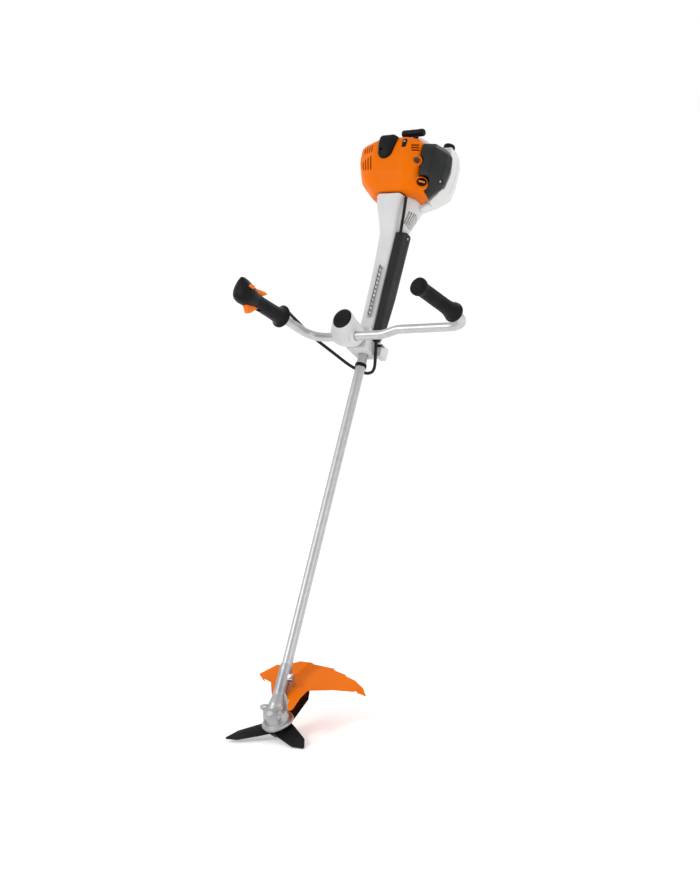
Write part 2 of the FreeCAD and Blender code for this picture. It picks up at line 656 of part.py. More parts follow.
def guard(ear_screw):
    """The moulded deflector, its bracket and the gearhead's screws."""
    skin = size("guard_skin")
    side = size("screw_side")
    back = size("screw_back")
    face = flat_face([Vector(x, y, 0) for x, y in GUARD_ROOF])
    roof = face.extrude(Vector(0, 0, skin))
    skirt = face.extrude(Vector(0, 0, -52)).cut(face.makeOffset2D(-skin).extrude(Vector(0, 0, -52)))
    trims = [flat_face([Vector(x, y, -53) for x, y in GUARD_FRONT]).extrude(Vector(0, 0, 60))]
    for end in GUARD_ENDS:
        trims.append(flat_face([Vector(x, -30, z) for x, z in end]).extrude(Vector(0, 240, 0)))
    panel = flat_face([Vector(x, y, skin) for x, y in GUARD_PANEL]).extrude(Vector(0, 0, skin))
    ribs = [Part.makeBox(right - left, rear - front, 12, Vector(left, front, -12)).common(
        face.extrude(Vector(0, 0, -20))) for left, right, front, rear in GUARD_RIBS]
    shell = roof.fuse([skirt.cut(trims), panel] + ribs).removeSplitter()
    holes = [Part.makeCylinder(size("screw_way"), 10, Vector(x, back, -3), Vector(0, 0, 1))
             for x in (-side, side)]
    piece = coded("deflector_guard", shell.cut(holes))
    piece.Placement = along_output(LEVELS["guard"])
    node("deflector_guard", piece)
    foot = block("bracket_foot", along_output(0))
    bore = lathe("saddle_room", along_shaft(0))
    ways = [rod("bracket_way%d" % number, "shaft_radius * 0.75 + 0.1", "tube_radius",
                along_output(LEVELS["bracket_way"]).multiply(upright(x, back, 0)))
            for number, x in enumerate((-side, side))]
    node("guard_bracket", cut("guard_bracket", foot, bore, *ways))
    screws = []
    for number, x in enumerate((-side, side)):
        spot = upright(x, back, 0)
        head = rod("guard_head%d" % number, "crank_radius", "shaft_radius",
                   along_output(LEVELS["guard_screw_head"]).multiply(spot))
        shank = rod("guard_shank%d" % number, "shaft_radius * 0.75", "tube_radius",
                    along_output(LEVELS["guard_screw"]).multiply(spot))
        screws.append(join("guard_screw%d" % number, head, shank))
    node("gearhead_screws", group("gearhead_screws", ear_screw, *screws))


def drive_tube():
    """The tube, the long shaft inside it and the bushes that carry the shaft."""
    node("shaft_tube", ring("shaft_tube", "tube_radius", "tube_radius - tube_wall", "tube_to - tube_from",
                            along_shaft(size("tube_from"))))
    node("drive_shaft", rod("drive_shaft", "shaft_radius", "shaft_to - shaft_from",
                            along_shaft(size("shaft_from"))))
    bushes = [ring("bush%d" % number, "tube_radius - tube_wall - running_gap", "shaft_radius + 0.1",
                   "tube_radius * 2", along_shaft(station))
              for number, station in enumerate(STATIONS["bushes"])]
    node("shaft_bushes", group("shaft_bushes", *bushes))


# ---- handlebar ----------------------------------------------------------------
def grip_frame(side):
    """A frame at the foot of a grip, Z along the bar's end."""
    ends = {"right": (BAR_ROUTE[1], BAR_ROUTE[0], 133), "left": (BAR_ROUTE[-2], BAR_ROUTE[-1], 76)}
    corner, tip, reach = ends[side]
    direction = (Vector(*tip) - Vector(*corner)).normalize()
    foot = Vector(*corner) + direction * reach
    return Placement(foot, Rotation(Vector(0, 0, 1), direction))


def lever(name, frame):
    """A wedge-shaped finger lever with a round pivot boss right across it."""
    outline, pivot, radius, half = LEVERS[name]
    points = [Vector(-half, out, along) for out, along in outline]
    wedge = flat_face(points).extrude(ACROSS * 2 * half)
    boss = Part.makeCylinder(radius, 2 * half, Vector(-half, *pivot), ACROSS)
    piece = coded(name, wedge.fuse(boss).removeSplitter())
    piece.Placement = frame
    return piece


def handlebar():
    """The clamp on the tube, the swivelling dome, the knob, the bar and its grips."""
    tube_way = rod("clamp_way", "tube_radius + running_gap", "tube_from * 2", along_shaft(STATIONS["clamp_way"]))
    screw_way = rod("knob_way", "shaft_radius + 1.3", "tube_from", upright(0, size("swivel_at"), 18))
    node("handle_clamp", cut("handle_clamp", block("clamp_lower"), tube_way, screw_way))
    node("clamp_side_block", block("clamp_side"))
    dome = lathe("dome_outer", upright(*DOME))
    bar_axis = Vector(-60, size("bar_at"), size("bar_level"))
    bar_way = rod("bar_way", "bar_radius + running_gap", "tube_from * 3", facing(bar_axis, (1, 0, 0)))
    stud_way = rod("stud_way", "shaft_radius + 1.05", "tube_from * 2", upright(0, size("swivel_at"), 40))
    node("swivel_dome", cut("swivel_dome", dome, bar_way, stud_way))
    node("clamp_knob", lathe("knob", upright(0, size("swivel_at"), 101.6)))
    outer = tube_along(rounded_path(BAR_ROUTE, BAR_BENDS), size("bar_radius"))
    inner = tube_along(rounded_path(BAR_ROUTE, BAR_BENDS), size("bar_radius") - size("bar_wall"))
    node("handlebar_tube", coded("handlebar_tube", outer.cut(inner)))
    left = lathe("left_grip", grip_frame("left"))
    node("left_grip", left)
    right = grip_frame("right")
    body = lathe("control_body", right)
    slots = [block("trigger_slot", right), block("lockout_slot", right)]
    button_way = rod("button_way", "crank_radius + 0.1", "tube_radius",
                     right.multiply(Placement(Vector(0, 22, 176), Rotation(ACROSS, -60))))
    node("control_grip", cut("control_grip", body, button_way, *slots))
    for name in LEVERS:
        node("throttle_" + name, lever(name, right))
    node("stop_button", lathe("stop_button", right.multiply(Placement(Vector(0, 24, 177), Rotation(ACROSS, -60)))))
    screws = []
    for number, (frame, out) in enumerate(((grip_frame("left"), 28.1), (right, 25.1))):
        spot = frame.multiply(Placement(Vector(0, out, 8), Rotation(ACROSS, -90)))
        screws.append(rod("grip_screw%d" % number, "shaft_radius", "shaft_radius * 0.6", spot))
    node("grip_screws", group("grip_screws", *screws))


def cables():
    """The throttle cable from the grip to the shell, its clip, and the one up to the engine."""
    cord("throttle_cable", UPPER_CABLE)
    cord("middle_cable", MIDDLE_CABLE)
    cord("lower_cable", LOWER_CABLE)
    cord("engine_cable", ENGINE_CABLE)
    collar = ring("clip_ring", "tube_radius + 2.5", "tube_radius + running_gap", "crank_radius * 1.5",
                  along_shaft(STATIONS["clip"]))
    middle, following = [Vector(*point) for point in LOWER_CABLE[:2]]
    leaving = (following - middle).normalize()
    boss = rod("clip_boss", "cable_radius * 1.5", "crank_radius * 2",
               facing(middle - leaving * size("crank_radius"), leaving))
    web = rod("clip_web", "shaft_radius", "tube_radius * 1.7", facing((-8, 1029, -11), (-16, 2, -20)))
    ways = [coded("clip_way%d" % number, tube_along(rounded_path(route, widest_bends(route)),
                                                    size("cable_radius") + size("running_gap")))
            for number, route in enumerate((MIDDLE_CABLE, LOWER_CABLE))]
    ways.append(rod("clip_tube_way", "tube_radius + running_gap", "tube_from",
                    along_shaft(STATIONS["clip_tube_way"])))
    node("cable_clip", cut("cable_clip", join("cable_clip", collar, boss, web), *ways))


# ---- harness side --------------------------------------------------------------
def carrier():
    """The long shell over the tube, the hip pad beside it and the hole rail on top."""
    skin = size("shell_skin")
    stations = list(TOP_SHELL)
    room = lofted(TOP_SHELL, skin)
    tube_way = Part.makeCylinder(size("tube_radius") + size("running_gap"), 460,
                                 Vector(0, stations[0] - 20, 0), ALONG)
    cone_room = [Part.makeCone(low, high, length, Vector(0, station, 0), ALONG)
                 for low, high, length, station in CONE_ROOM]
    shell = lofted(TOP_SHELL).cut([room, tube_way] + cone_room)
    biggest = max(shell.Solids, key=lambda solid: solid.Volume)
    node("top_shell", coded("top_shell", biggest))
    node("hip_pad", coded("hip_pad", lofted(HIP_PAD).cut(cone_room)))
    plate = join("rail", block("rail_plate"), block("rail_foot"))
    holes = []
    for index in range(int(size("hole_count"))):
        station = size("hole_first") + index * size("hole_pitch")
        holes.append(rod("rail_hole%d" % index, "hole_radius", "tube_radius",
                         facing((6, station, size("rail_level")), (1, 0, 0))))
    rail = cut("harness_rail", plate, *holes)
    node("harness_rail", rail)


# ---- engine --------------------------------------------------------------------
def clutch():
    """The vented cone between tube and engine, with the centrifugal clutch in it."""
    outer = lathe("clutch_outer", along_shaft(STATIONS["clutch_housing"]))
    inner = lathe("clutch_inner", along_shaft(STATIONS["clutch_room"]))
    node("clutch_housing", cut("clutch_housing", outer, inner))
    node("clutch_drum", lathe("clutch_drum", along_shaft(STATIONS["clutch_drum"])))
    disc = ring("shoe_disc", "tube_radius * 2.45", "crank_radius + running_gap", "tube_radius + 4",
                along_shaft(STATIONS["clutch_shoes"]))
    circle = size("shoe_circle")
    slots = [rod("shoe_slot%d" % number, "shaft_radius", "tube_radius * 2",
                 along_shaft(STATIONS["shoe_slots"], circle * math.cos(turn), circle * math.sin(turn)))
             for number, turn in enumerate((0.5, 2.6, 4.7))]
    node("clutch_shoes", cut("clutch_shoes", disc, *slots))


def engine():
    """The two-stroke engine: crankcase, cylinder, crank, ignition, exhaust and intake."""
    case = cut("crankcase_block", block("crankcase"), block("crank_room"),
               rod("crank_way", "crank_radius + 7.1", "tube_from * 2.2", along_shaft(STATIONS["crank_way"])),
               rod("piston_way", "crank_radius + 16", "tube_from * 0.4", upright(*CYLINDER, 24)))
    node("crankcase", case)
    bearings = [ring("main_bearing%d" % number, "crank_radius + 7", "crank_radius + 0.1", "tube_wall * 4 - 0.4",
                     along_shaft(station)) for number, station in enumerate(STATIONS["main_bearings"])]
    bearings.append(ring("clutch_bearing", "tube_radius - 1.05", "crank_radius + 2.8", "crank_radius + 1",
                         along_shaft(STATIONS["clutch_bearing"])))
    node("engine_bearings", group("engine_bearings", *bearings))
    shaft = rod("crank_bar", "crank_radius", "tube_from * 4.6", along_shaft(STATIONS["crankshaft"]))
    webs = [rod("crank_web%d" % number, "tube_radius * 1.9", "crank_radius + 3", along_shaft(station))
            for number, station in enumerate(STATIONS["crank_webs"])]
    pin_foot = along_shaft(STATIONS["crank_pin"], 0, size("crank_throw"))
    pin = rod("crank_pin", "crank_radius", "crank_radius * 5", pin_foot)
    node("crankshaft", join("crankshaft", shaft, *(webs + [pin])))
    node("cylinder", lathe("cylinder_fins", upright(*CYLINDER, 37.7)))
    node("piston", lathe("piston", upright(*CYLINDER, 50)))
    node("flywheel", lathe("flywheel", along_shaft(STATIONS["flywheel"])))
    plug = lathe("spark_plug", Placement(Vector(-4, 1642.4, 88), Rotation(ACROSS, -80)))
    node("spark_plug", plug)
    node("muffler", cut("muffler", block("muffler"), block("muffler_room")))
    node("carburettor", block("carburettor"))
    node("air_filter", block("air_filter"))
    node("fuel_tank", coded("fuel_tank", tank_solid(0).cut(tank_solid(size("shell_skin")))))
    cap_frame = Placement(Vector(*CAP), Rotation(ACROSS, -90))
    node("fuel_cap", lathe("fuel_cap", cap_frame))
    house = cut("starter_housing", lathe("starter_outer", along_shaft(STATIONS["starter_housing"])),
                lathe("starter_inner", along_shaft(STATIONS["starter_room"])),
                rod("rope_way", "rope_radius * 3", "tube_from * 2", rope_frame(12)))
    node("starter_housing", house)
    node("starter_pulley", lathe("starter_pulley", along_shaft(STATIONS["starter_pulley"])))


def tank_solid(skin):
    """The tank as a loft through its plan at three heights, or the room inside its skin."""
    middle = sum(y for x, y in TANK_PLAN) / len(TANK_PLAN)
    levels = list(TANK_LEVELS)
    wires = []
    for level, share in TANK_LEVELS.items():
        inward = share - skin / 100
        points = [(x * inward, middle + (y - middle) * inward) for x, y in TANK_PLAN]
        if skin:
            level += {levels[0]: skin, levels[-1]: -skin}.get(level, 0)
        wires.append(Part.makePolygon([Vector(x, y, level) for x, y in points + points[:1]]))
    return Part.makeLoft(wires, True, True)


def rope_frame(height):
    """A frame on the starter rope, Z along its pull."""
    return upright(size("rope_side"), size("rope_at"), height)


def covers():
    """The engine's moulded covers and the small controls in them."""
    skin = size("shell_skin")
    outer = lofted(SHROUD)
    room = lofted(SHROUD, skin, "below")
    below = Part.makeBox(300, 260, 30, Vector(-150, 1500, 0))
    pierce = [Part.makeCylinder(6.3, 24, CHOKE, CHOKE_WAY),
              Part.makeCylinder(8.3, 24, PRIMER, PRIMER_WAY)]
    apron = flat_face([Vector(x, 1544, z) for x, z in SHROUD_APRON])
    apron = apron.extrude(ALONG * skin).cut(Part.makeCylinder(70.6, 20, Vector(0, 1540, 0), ALONG))
    shell = outer.cut([room, below, block_shape("plug_lid")]).fuse(apron)
    shell = shell.cut(pierce)
    node("engine_shroud", coded("engine_shroud", max(shell.Solids, key=lambda solid: solid.Volume)))
    node("plug_cover", block("plug_lid"))
    cover = lofted(FILTER_COVER).cut(lofted(FILTER_COVER, skin, "side"))
    node("filter_cover", coded("filter_cover", cover))
    node("primer_bulb", lathe("primer_bulb", facing(PRIMER, PRIMER_WAY)))
    node("choke_knob", lathe("choke_knob", facing(CHOKE, CHOKE_WAY)))
    grip_middle = rope_frame(88).Base + Vector(-36, 0, 0)
    node("starter_grip", join("starter_grip", lathe("pull_grip", facing(grip_middle, (1, 0, 0))),
                              rod("grip_stem", "crank_radius + 1", "tube_radius + 7", rope_frame(64))))
    node("starter_rope", rod("starter_rope", "rope_radius", "rope_free", rope_frame(size("rope_from"))))


def block_shape(name):
    """A plain solid with a block's limits, for cutting shapes made in code."""
    left, right, front, back, low, high = [size("%s_%s" % (name, word)) for word in
                                           ("left", "right", "front", "back", "low", "high")]
    return Part.makeBox(right - left, back - front, high - low, Vector(left, front, low))


brush_knife()
gears()
guard(gearhead())
drive_tube()
handlebar()
cables()
carrier()
clutch()
engine()
covers()
doc.recompute()

for thing in doc.Objects:
    if "Invalid" in thing.State or "Error" in thing.State:
        raise RuntimeError("failed object " + thing.Name)
for name, piece in NODES.items():
    if piece.Shape.isNull() or not piece.Shape.isValid():
        raise RuntimeError("bad shape " + name)
    if not piece.Shape.Solids:
        raise RuntimeError("no solid in " + name)

os.makedirs("parts", exist_ok=True)
for name, piece in NODES.items():
    piece.Shape.exportStep("parts/%s.step" % name)
print(len(NODES), "nodes written")
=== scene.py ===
import json
import math

import bmesh
import bpy
from mathutils import Matrix, Vector


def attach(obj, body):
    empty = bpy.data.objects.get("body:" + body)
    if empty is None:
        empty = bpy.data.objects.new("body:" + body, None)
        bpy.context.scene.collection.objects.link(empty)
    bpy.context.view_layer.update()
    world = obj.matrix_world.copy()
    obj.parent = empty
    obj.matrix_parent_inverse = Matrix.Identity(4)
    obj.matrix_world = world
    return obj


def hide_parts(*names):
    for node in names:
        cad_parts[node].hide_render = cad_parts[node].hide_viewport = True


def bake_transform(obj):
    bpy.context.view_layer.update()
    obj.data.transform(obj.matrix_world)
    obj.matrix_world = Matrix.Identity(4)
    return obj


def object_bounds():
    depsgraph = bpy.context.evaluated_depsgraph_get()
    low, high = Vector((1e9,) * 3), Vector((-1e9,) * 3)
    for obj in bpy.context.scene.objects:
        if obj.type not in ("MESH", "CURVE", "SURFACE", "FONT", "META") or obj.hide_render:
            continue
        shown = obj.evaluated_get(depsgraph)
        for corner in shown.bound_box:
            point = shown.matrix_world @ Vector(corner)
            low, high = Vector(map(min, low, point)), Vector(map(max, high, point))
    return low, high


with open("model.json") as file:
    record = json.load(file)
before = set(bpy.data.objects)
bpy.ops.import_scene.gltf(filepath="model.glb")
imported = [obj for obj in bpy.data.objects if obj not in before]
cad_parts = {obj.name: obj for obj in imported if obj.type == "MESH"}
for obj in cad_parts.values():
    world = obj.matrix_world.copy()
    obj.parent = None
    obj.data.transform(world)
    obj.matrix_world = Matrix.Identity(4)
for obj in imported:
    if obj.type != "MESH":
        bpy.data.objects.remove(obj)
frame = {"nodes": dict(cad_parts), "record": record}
cad_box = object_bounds()
NODES = frame["nodes"]
scene = bpy.context.scene

# ---- places ---------------------------------------------------------------------
# The machine's own axes are those of the CAD source, in millimetres: X across towards
# the operator's left, Y up the shaft, Z square to it on the handlebar side.
LEAN = math.radians(52)
HARNESS_HOLE = Vector((13.5, 1244, 42))
MM = 0.001
ROW = Matrix.Rotation(LEAN, 4, "X") @ Matrix.Scale(MM, 4) @ Matrix.Translation(-HARNESS_HOLE)
ACROSS, ALONG, OUTWARD = Vector((1, 0, 0)), Vector((0, 1, 0)), Vector((0, 0, 1))
FULL_TURN = 2 * math.pi
# The knife turns about the Z of this place, and the guard's roof lies square to it.
OUTPUT = Matrix.Rotation(-math.radians(32), 4, "X")


def facing(middle, direction, top=ALONG):
    """A place at a point whose Z runs along a direction and whose Y is near another."""
    deep = Vector(direction).normalized()
    side = Vector(top).cross(deep).normalized()
    turn = Matrix((side, deep.cross(side), deep)).transposed().to_4x4()
    return Matrix.Translation(middle) @ turn


def angles_round(steps):
    """Evenly spaced angles round a full turn."""
    return [FULL_TURN * step / steps for step in range(steps)]


# The grips' feet stand on the bar's two upright ends, at a distance from each bend.
GRIPS = {}
for side, bend, tip, reach in (("control", (-113, 1072, 105), (-141, 1047, 385), 133),
                               ("plain", (400, 1081, 105), (370, 1072, 325), 76)):
    rise = (Vector(tip) - Vector(bend)).normalized()
    turn = OUTWARD.rotation_difference(rise).to_matrix().to_4x4()
    GRIPS[side] = Matrix.Translation(Vector(bend) + rise * reach) @ turn

CHOKE = facing((98.2, 1570, 64.6), (0.6, 0, 0.8))
PRIMER = facing((80, 1633, 88), (0.52, 0, 0.85))
STARTER_ROPE = Vector((45, 1732, 0))
BAR_LINE = facing((0, 1067, 105), ACROSS)


# ---- materials ------------------------------------------------------------------
def node_with(tree, kind, values):
    """A new shader node with values on its sockets."""
    made = tree.nodes.new(kind)
    for socket, value in values.items():
        made.inputs[socket].default_value = value
    return made


def noise(tree, place, scale, detail):
    """A noise texture read at the given place."""
    made = node_with(tree, "ShaderNodeTexNoise", {"Scale": scale, "Detail": detail})
    tree.links.new(place, made.inputs["Vector"])
    return made.outputs["Fac"]


def surface(name, colour, second, metal=0.0, rough=(0.3, 0.45), mottle=12.0, grain=900.0, bump=0.1,
            stretch=(1, 1, 1), edge=None, shine=0.2):
    """Two close colours, a varying roughness, a fine grain and, where it wears, paler corners."""
    made = bpy.data.materials.new(name)
    made.use_nodes = True
    tree = made.node_tree
    link = tree.links.new
    shader = tree.nodes["Principled BSDF"]
    shader.inputs["Metallic"].default_value = metal
    shader.inputs["Specular IOR Level"].default_value = shine
    where = tree.nodes.new("ShaderNodeTexCoord")
    mapped = node_with(tree, "ShaderNodeMapping", {"Rotation": (-LEAN, 0, 0), "Scale": stretch})
    link(where.outputs["Object"], mapped.inputs["Vector"])
    place = mapped.outputs["Vector"]
    tint = tree.nodes.new("ShaderNodeValToRGB")
    for stop, spot, shade in zip(tint.color_ramp.elements, (0.35, 0.65), (colour, second)):
        stop.position = spot
        stop.color = (*shade, 1)
    link(noise(tree, place, mottle, 6), tint.inputs["Fac"])
    paint = tint.outputs["Color"]
    if edge:
        paint = worn(tree, paint, place, edge)
    link(paint, shader.inputs["Base Color"])
    gloss = node_with(tree, "ShaderNodeMapRange",
                      {"From Min": 0.3, "From Max": 0.7, "To Min": rough[0], "To Max": rough[1]})
    link(noise(tree, place, mottle * 4, 4), gloss.inputs["Value"])
    link(gloss.outputs["Result"], shader.inputs["Roughness"])
    relief = node_with(tree, "ShaderNodeBump", {"Strength": bump, "Distance": 0.0004})
    link(noise(tree, place, grain, 3), relief.inputs["Height"])
    link(relief.outputs["Normal"], shader.inputs["Normal"])
    return made


def worn(tree, paint, place, edge):
    """The paint with a paler colour where a corner is rubbed."""
    corner = tree.nodes.new("ShaderNodeNewGeometry")
    band = node_with(tree, "ShaderNodeMapRange", {"From Min": 0.52, "From Max": 0.6})
    tree.links.new(corner.outputs["Pointiness"], band.inputs["Value"])
    patch = tree.nodes.new("ShaderNodeMath")
    patch.operation = "MULTIPLY"
    tree.links.new(band.outputs["Result"], patch.inputs[0])
    tree.links.new(noise(tree, place, 60, 4), patch.inputs[1])
    mixed = tree.nodes.new("ShaderNodeMix")
    mixed.data_type = "RGBA"
    tree.links.new(patch.outputs[0], mixed.inputs["Factor"])
    tree.links.new(paint, mixed.inputs["A"])
    mixed.inputs["B"].default_value = (*edge, 1)
    return mixed.outputs["Result"]


LOOKS = {
    "knife_steel": surface("knife_paint", (0.004, 0.004, 0.004), (0.009, 0.009, 0.009),
                           rough=(0.45, 0.6), mottle=30, bump=0.3, edge=(0.1, 0.1, 0.1), shine=0.08),
    "bare_steel": surface("turned_steel", (0.42, 0.42, 0.43), (0.52, 0.52, 0.53), metal=1,
                          rough=(0.22, 0.38), mottle=40),
    "zinc_steel": surface("zinc_plate", (0.5, 0.51, 0.52), (0.62, 0.62, 0.62), metal=1,
                          rough=(0.25, 0.4), mottle=60),
    "cast_alloy": surface("cast_alloy", (0.34, 0.34, 0.35), (0.48, 0.48, 0.49), metal=1,
                          rough=(0.34, 0.5), mottle=25, grain=700, bump=0.9, edge=(0.75, 0.75, 0.76)),
    "tube_alloy": surface("tube_alloy", (0.52, 0.52, 0.53), (0.58, 0.58, 0.59), metal=1,
                          rough=(0.38, 0.5), mottle=10, bump=0.15, stretch=(8, 0.15, 8)),
    "orange_shell": surface("orange_moulding", (0.8, 0.155, 0.0), (0.86, 0.175, 0.0),
                            rough=(0.34, 0.46), mottle=8, bump=0.12, shine=0.07),
    "white_shell": surface("white_moulding", (0.62, 0.62, 0.62), (0.68, 0.68, 0.68), rough=(0.36, 0.5),
                           mottle=8, bump=0.12),
    "tank_plastic": surface("tank_moulding", (0.68, 0.68, 0.67), (0.74, 0.74, 0.73), rough=(0.4, 0.55),
                            mottle=6, grain=600, bump=0.2),
    "black_plastic": surface("black_moulding", (0.004, 0.004, 0.005), (0.009, 0.009, 0.01),
                             rough=(0.35, 0.5), mottle=14, grain=800, bump=0.25, shine=0.13),
    "dark_shell": surface("dark_moulding", (0.013, 0.014, 0.014), (0.022, 0.023, 0.023),
                          rough=(0.36, 0.5), mottle=10, bump=0.2),
    "soft_rubber": surface("grip_rubber", (0.004, 0.004, 0.005), (0.01, 0.01, 0.011), rough=(0.5, 0.66),
                           mottle=20, grain=600, bump=0.6, shine=0.12),
    "pad_rubber": surface("pad_foam", (0.014, 0.015, 0.015), (0.022, 0.023, 0.023), rough=(0.5, 0.7),
                          mottle=14, grain=700, bump=0.6),
    "orange_lever": surface("lever_moulding", (0.85, 0.17, 0.004), (0.9, 0.2, 0.006), rough=(0.3, 0.4),
                            mottle=20),
    "cable_sheath": surface("cable_sheath", (0.006, 0.006, 0.006), (0.012, 0.012, 0.012),
                            rough=(0.35, 0.5), mottle=30),
    "bearing_steel": surface("bearing_steel", (0.5, 0.5, 0.52), (0.6, 0.6, 0.62), metal=1,
                             rough=(0.12, 0.25), mottle=40),
    "dark_iron": surface("dark_iron", (0.04, 0.04, 0.042), (0.07, 0.068, 0.066), metal=0.7,
                         rough=(0.5, 0.7), mottle=20, grain=500, bump=0.8),
    "filter_foam": surface("filter_felt", (0.5, 0.48, 0.4), (0.6, 0.58, 0.5), rough=(0.8, 0.95),
                           mottle=30, grain=400, bump=0.9),
    "starter_cord": surface("starter_cord", (0.6, 0.58, 0.52), (0.7, 0.68, 0.62), rough=(0.7, 0.85),
                            mottle=60, bump=0.8),
    "ceramic_white": surface("ceramic", (0.75, 0.75, 0.72), (0.8, 0.8, 0.78), rough=(0.1, 0.2),
                             mottle=10),
    "bulb_rubber": surface("bulb_rubber", (0.025, 0.027, 0.032), (0.04, 0.043, 0.05),
                           rough=(0.12, 0.22), mottle=20),
    "cup_steel": surface("cup_steel", (0.06, 0.06, 0.06), (0.1, 0.1, 0.1), metal=1, rough=(0.35, 0.5),
                         mottle=40),
}
SLOT_OF = {part["node"]: part["material_slot"] for part in frame["record"]["subparts"]}
BODY_OF = {node: body for body, members in frame["record"]["behaviour"]["bodies"].items()
           for node in members}


# ---- mesh tools -----------------------------------------------------------------
def shown(name, data):
    """A new object in the scene."""
    thing = bpy.data.objects.new(name, data)
    scene.collection.objects.link(thing)
    return thing


def solid(name, corners, faces, place=Matrix()):
    """A mesh object from corners and faces, its corners moved by its place."""
    mesh = bpy.data.meshes.new(name)
    mesh.from_pydata([place @ Vector(corner) for corner in corners], [], faces)
    work = bmesh.new()
    work.from_mesh(mesh)
    bmesh.ops.recalc_face_normals(work, faces=work.faces)
    work.to_mesh(mesh)
    work.free()
    return shown(name, mesh)


def skin(name, rings, place=Matrix()):
    """A closed solid through rings that have the same number of points."""
    count = len(rings[0])
    corners = [point for ring in rings for point in ring]
    faces = [tuple(range(count)), tuple(range(len(corners) - count, len(corners)))]
    for level in range(len(rings) - 1):
        for step in range(count):
            start, after = level * count + step, level * count + (step + 1) % count
            faces.append((start, after, after + count, start + count))
    return solid(name, corners, faces, place)


def turned_rings(outline, wide, steps):
    """Rings about Z from (radius, height) points, wider or narrower along Y."""
    return [[(radius * math.cos(turn), radius * wide * math.sin(turn), height)
             for turn in angles_round(steps)] for radius, height in outline]


def turned(name, outline, place, wide=1.0, steps=72):
    """A solid turned about the Z of its place, closed flat at both ends."""
    return skin(name, turned_rings(outline, wide, steps), place)


def looped(name, rings, place=Matrix()):
    """A solid round a bore: its last ring joins its first."""
    count = len(rings[0])
    corners = [point for ring in rings for point in ring]
    faces = []
    for level in range(len(rings)):
        above = (level + 1) % len(rings)
        for step in range(count):
            after = (step + 1) % count
            faces.append((level * count + step, level * count + after,
                          above * count + after, above * count + step))
    return solid(name, corners, faces, place)


def bored(name, outline, place, wide=1.0, steps=64):
    """A turned ring: its outline closes on itself round a bore."""
    return looped(name, turned_rings(outline, wide, steps), place)


def rod(name, radius, low, high, place, steps=48):
    """A round bar between two heights of its place."""
    return turned(name, [(radius, low), (radius, high)], place, steps=steps)


def slab(name, outline, low, high, place=Matrix()):
    """A flat prism: an outline in X and Y between two heights of its place."""
    return skin(name, [[(x, y, level) for x, y in outline] for level in (low, high)], place)


def box(name, half, place):
    """A straight-sided solid from its three half sizes about its place."""
    across, along, high = half
    outline = [(-across, -along), (across, -along), (across, along), (-across, along)]
    return slab(name, outline, -high, high, place)


def from_cad(node):
    """A copy of a CAD node's mesh in the machine's axes, its corners joined up."""
    mesh = NODES[node].data.copy()
    mesh.transform(ROW.inverted())
    work = bmesh.new()
    work.from_mesh(mesh)
    bmesh.ops.remove_doubles(work, verts=work.verts, dist=0.01)
    work.to_mesh(mesh)
    work.free()
    return shown(node + "_form", mesh)


def applied(thing):
    """The object with its modifiers worked into its mesh."""
    graph = bpy.context.evaluated_depsgraph_get()
    graph.update()
    made = bpy.data.meshes.new_from_object(thing.evaluated_get(graph))
    thing.modifiers.clear()
    thing.data = made
    return thing


def combine(base, tools, how="DIFFERENCE"):
    """The base less each tool, or only what they share; the tools are used up."""
    for tool in tools:
        change = base.modifiers.new("change", "BOOLEAN")
        change.operation = how
        change.solver = "EXACT"
        change.object = tool
        applied(base)
        bpy.data.objects.remove(tool)
    return base


def gathered(base, extras):
    """One object holding the base's and the extras' loose solids, for a voxel skin to unite."""
    work = bmesh.new()
    for thing in [base, *extras]:
        work.from_mesh(thing.data)
    work.to_mesh(base.data)
    work.free()
    for thing in extras:
        bpy.data.objects.remove(thing)
    return base


def moulded(thing, voxel=1.2, passes=6, keep=0.3):
    """The object under one rounded skin, as a moulding or casting has, with fewer faces after."""
    cover = thing.modifiers.new("skin", "REMESH")
    cover.mode = "VOXEL"
    cover.voxel_size = voxel
    soften = thing.modifiers.new("soften", "SMOOTH")
    soften.factor = 0.5
    soften.iterations = passes
    thin = thing.modifiers.new("thin", "DECIMATE")
    thin.ratio = keep
    return applied(thing)


def bevelled(thing, width, angle=30, steps=3):
    """The object with the edges sharper than an angle rounded to a width in millimetres."""
    merge = thing.modifiers.new("merge", "DECIMATE")
    merge.decimate_type = "DISSOLVE"
    merge.angle_limit = math.radians(2)
    round_off = thing.modifiers.new("round", "BEVEL")
    round_off.width = width
    round_off.segments = steps
    round_off.limit_method = "ANGLE"
    round_off.angle_limit = math.radians(angle)
    return applied(thing)


def settle(thing, name, body, slot, nodes=(), crease=35):
    """Put a piece made in the machine's axes into the row frame, with its body, finish and shading."""
    thing.name = name
    thing.data.name = name
    thing.data.transform(ROW)
    thing.data.materials.clear()
    thing.data.materials.append(LOOKS[slot])
    thing.data.shade_smooth()
    thing.data.set_sharp_from_angle(angle=math.radians(crease))
    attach(thing, body)
    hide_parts(*nodes)
    return thing


def instead_of(node, thing, name, crease=35):
    """A piece that stands for one CAD node, with that node's body and finish."""
    return settle(thing, name, BODY_OF[node], SLOT_OF[node], [node], crease)


def ridges(name, radius, count, depth, low, high, place):
    """Round ribs along a turned piece, spaced evenly round it."""
    return [rod("%s_%d" % (name, number), depth, low, high,
                place @ Matrix.Rotation(turn, 4, "Z") @ Matrix.Translation((radius, 0, 0)), 10)
            for number, turn in enumerate(angles_round(count))]


def screw(name, place, radius):
    """A socket screw's head with a six-sided recess, on a piece that doesn't move."""
    head = turned(name, [(radius * 0.9, 0), (radius, radius * 0.15), (radius, radius * 0.7),
                         (radius * 0.85, radius * 0.9)], place, steps=32)
    recess = turned(name + "_socket", [(radius * 0.5, radius * 0.4), (radius * 0.5, radius * 1.2)],
                    place, steps=6)
    settle(combine(head, [recess]), name, "machine", "zinc_steel")


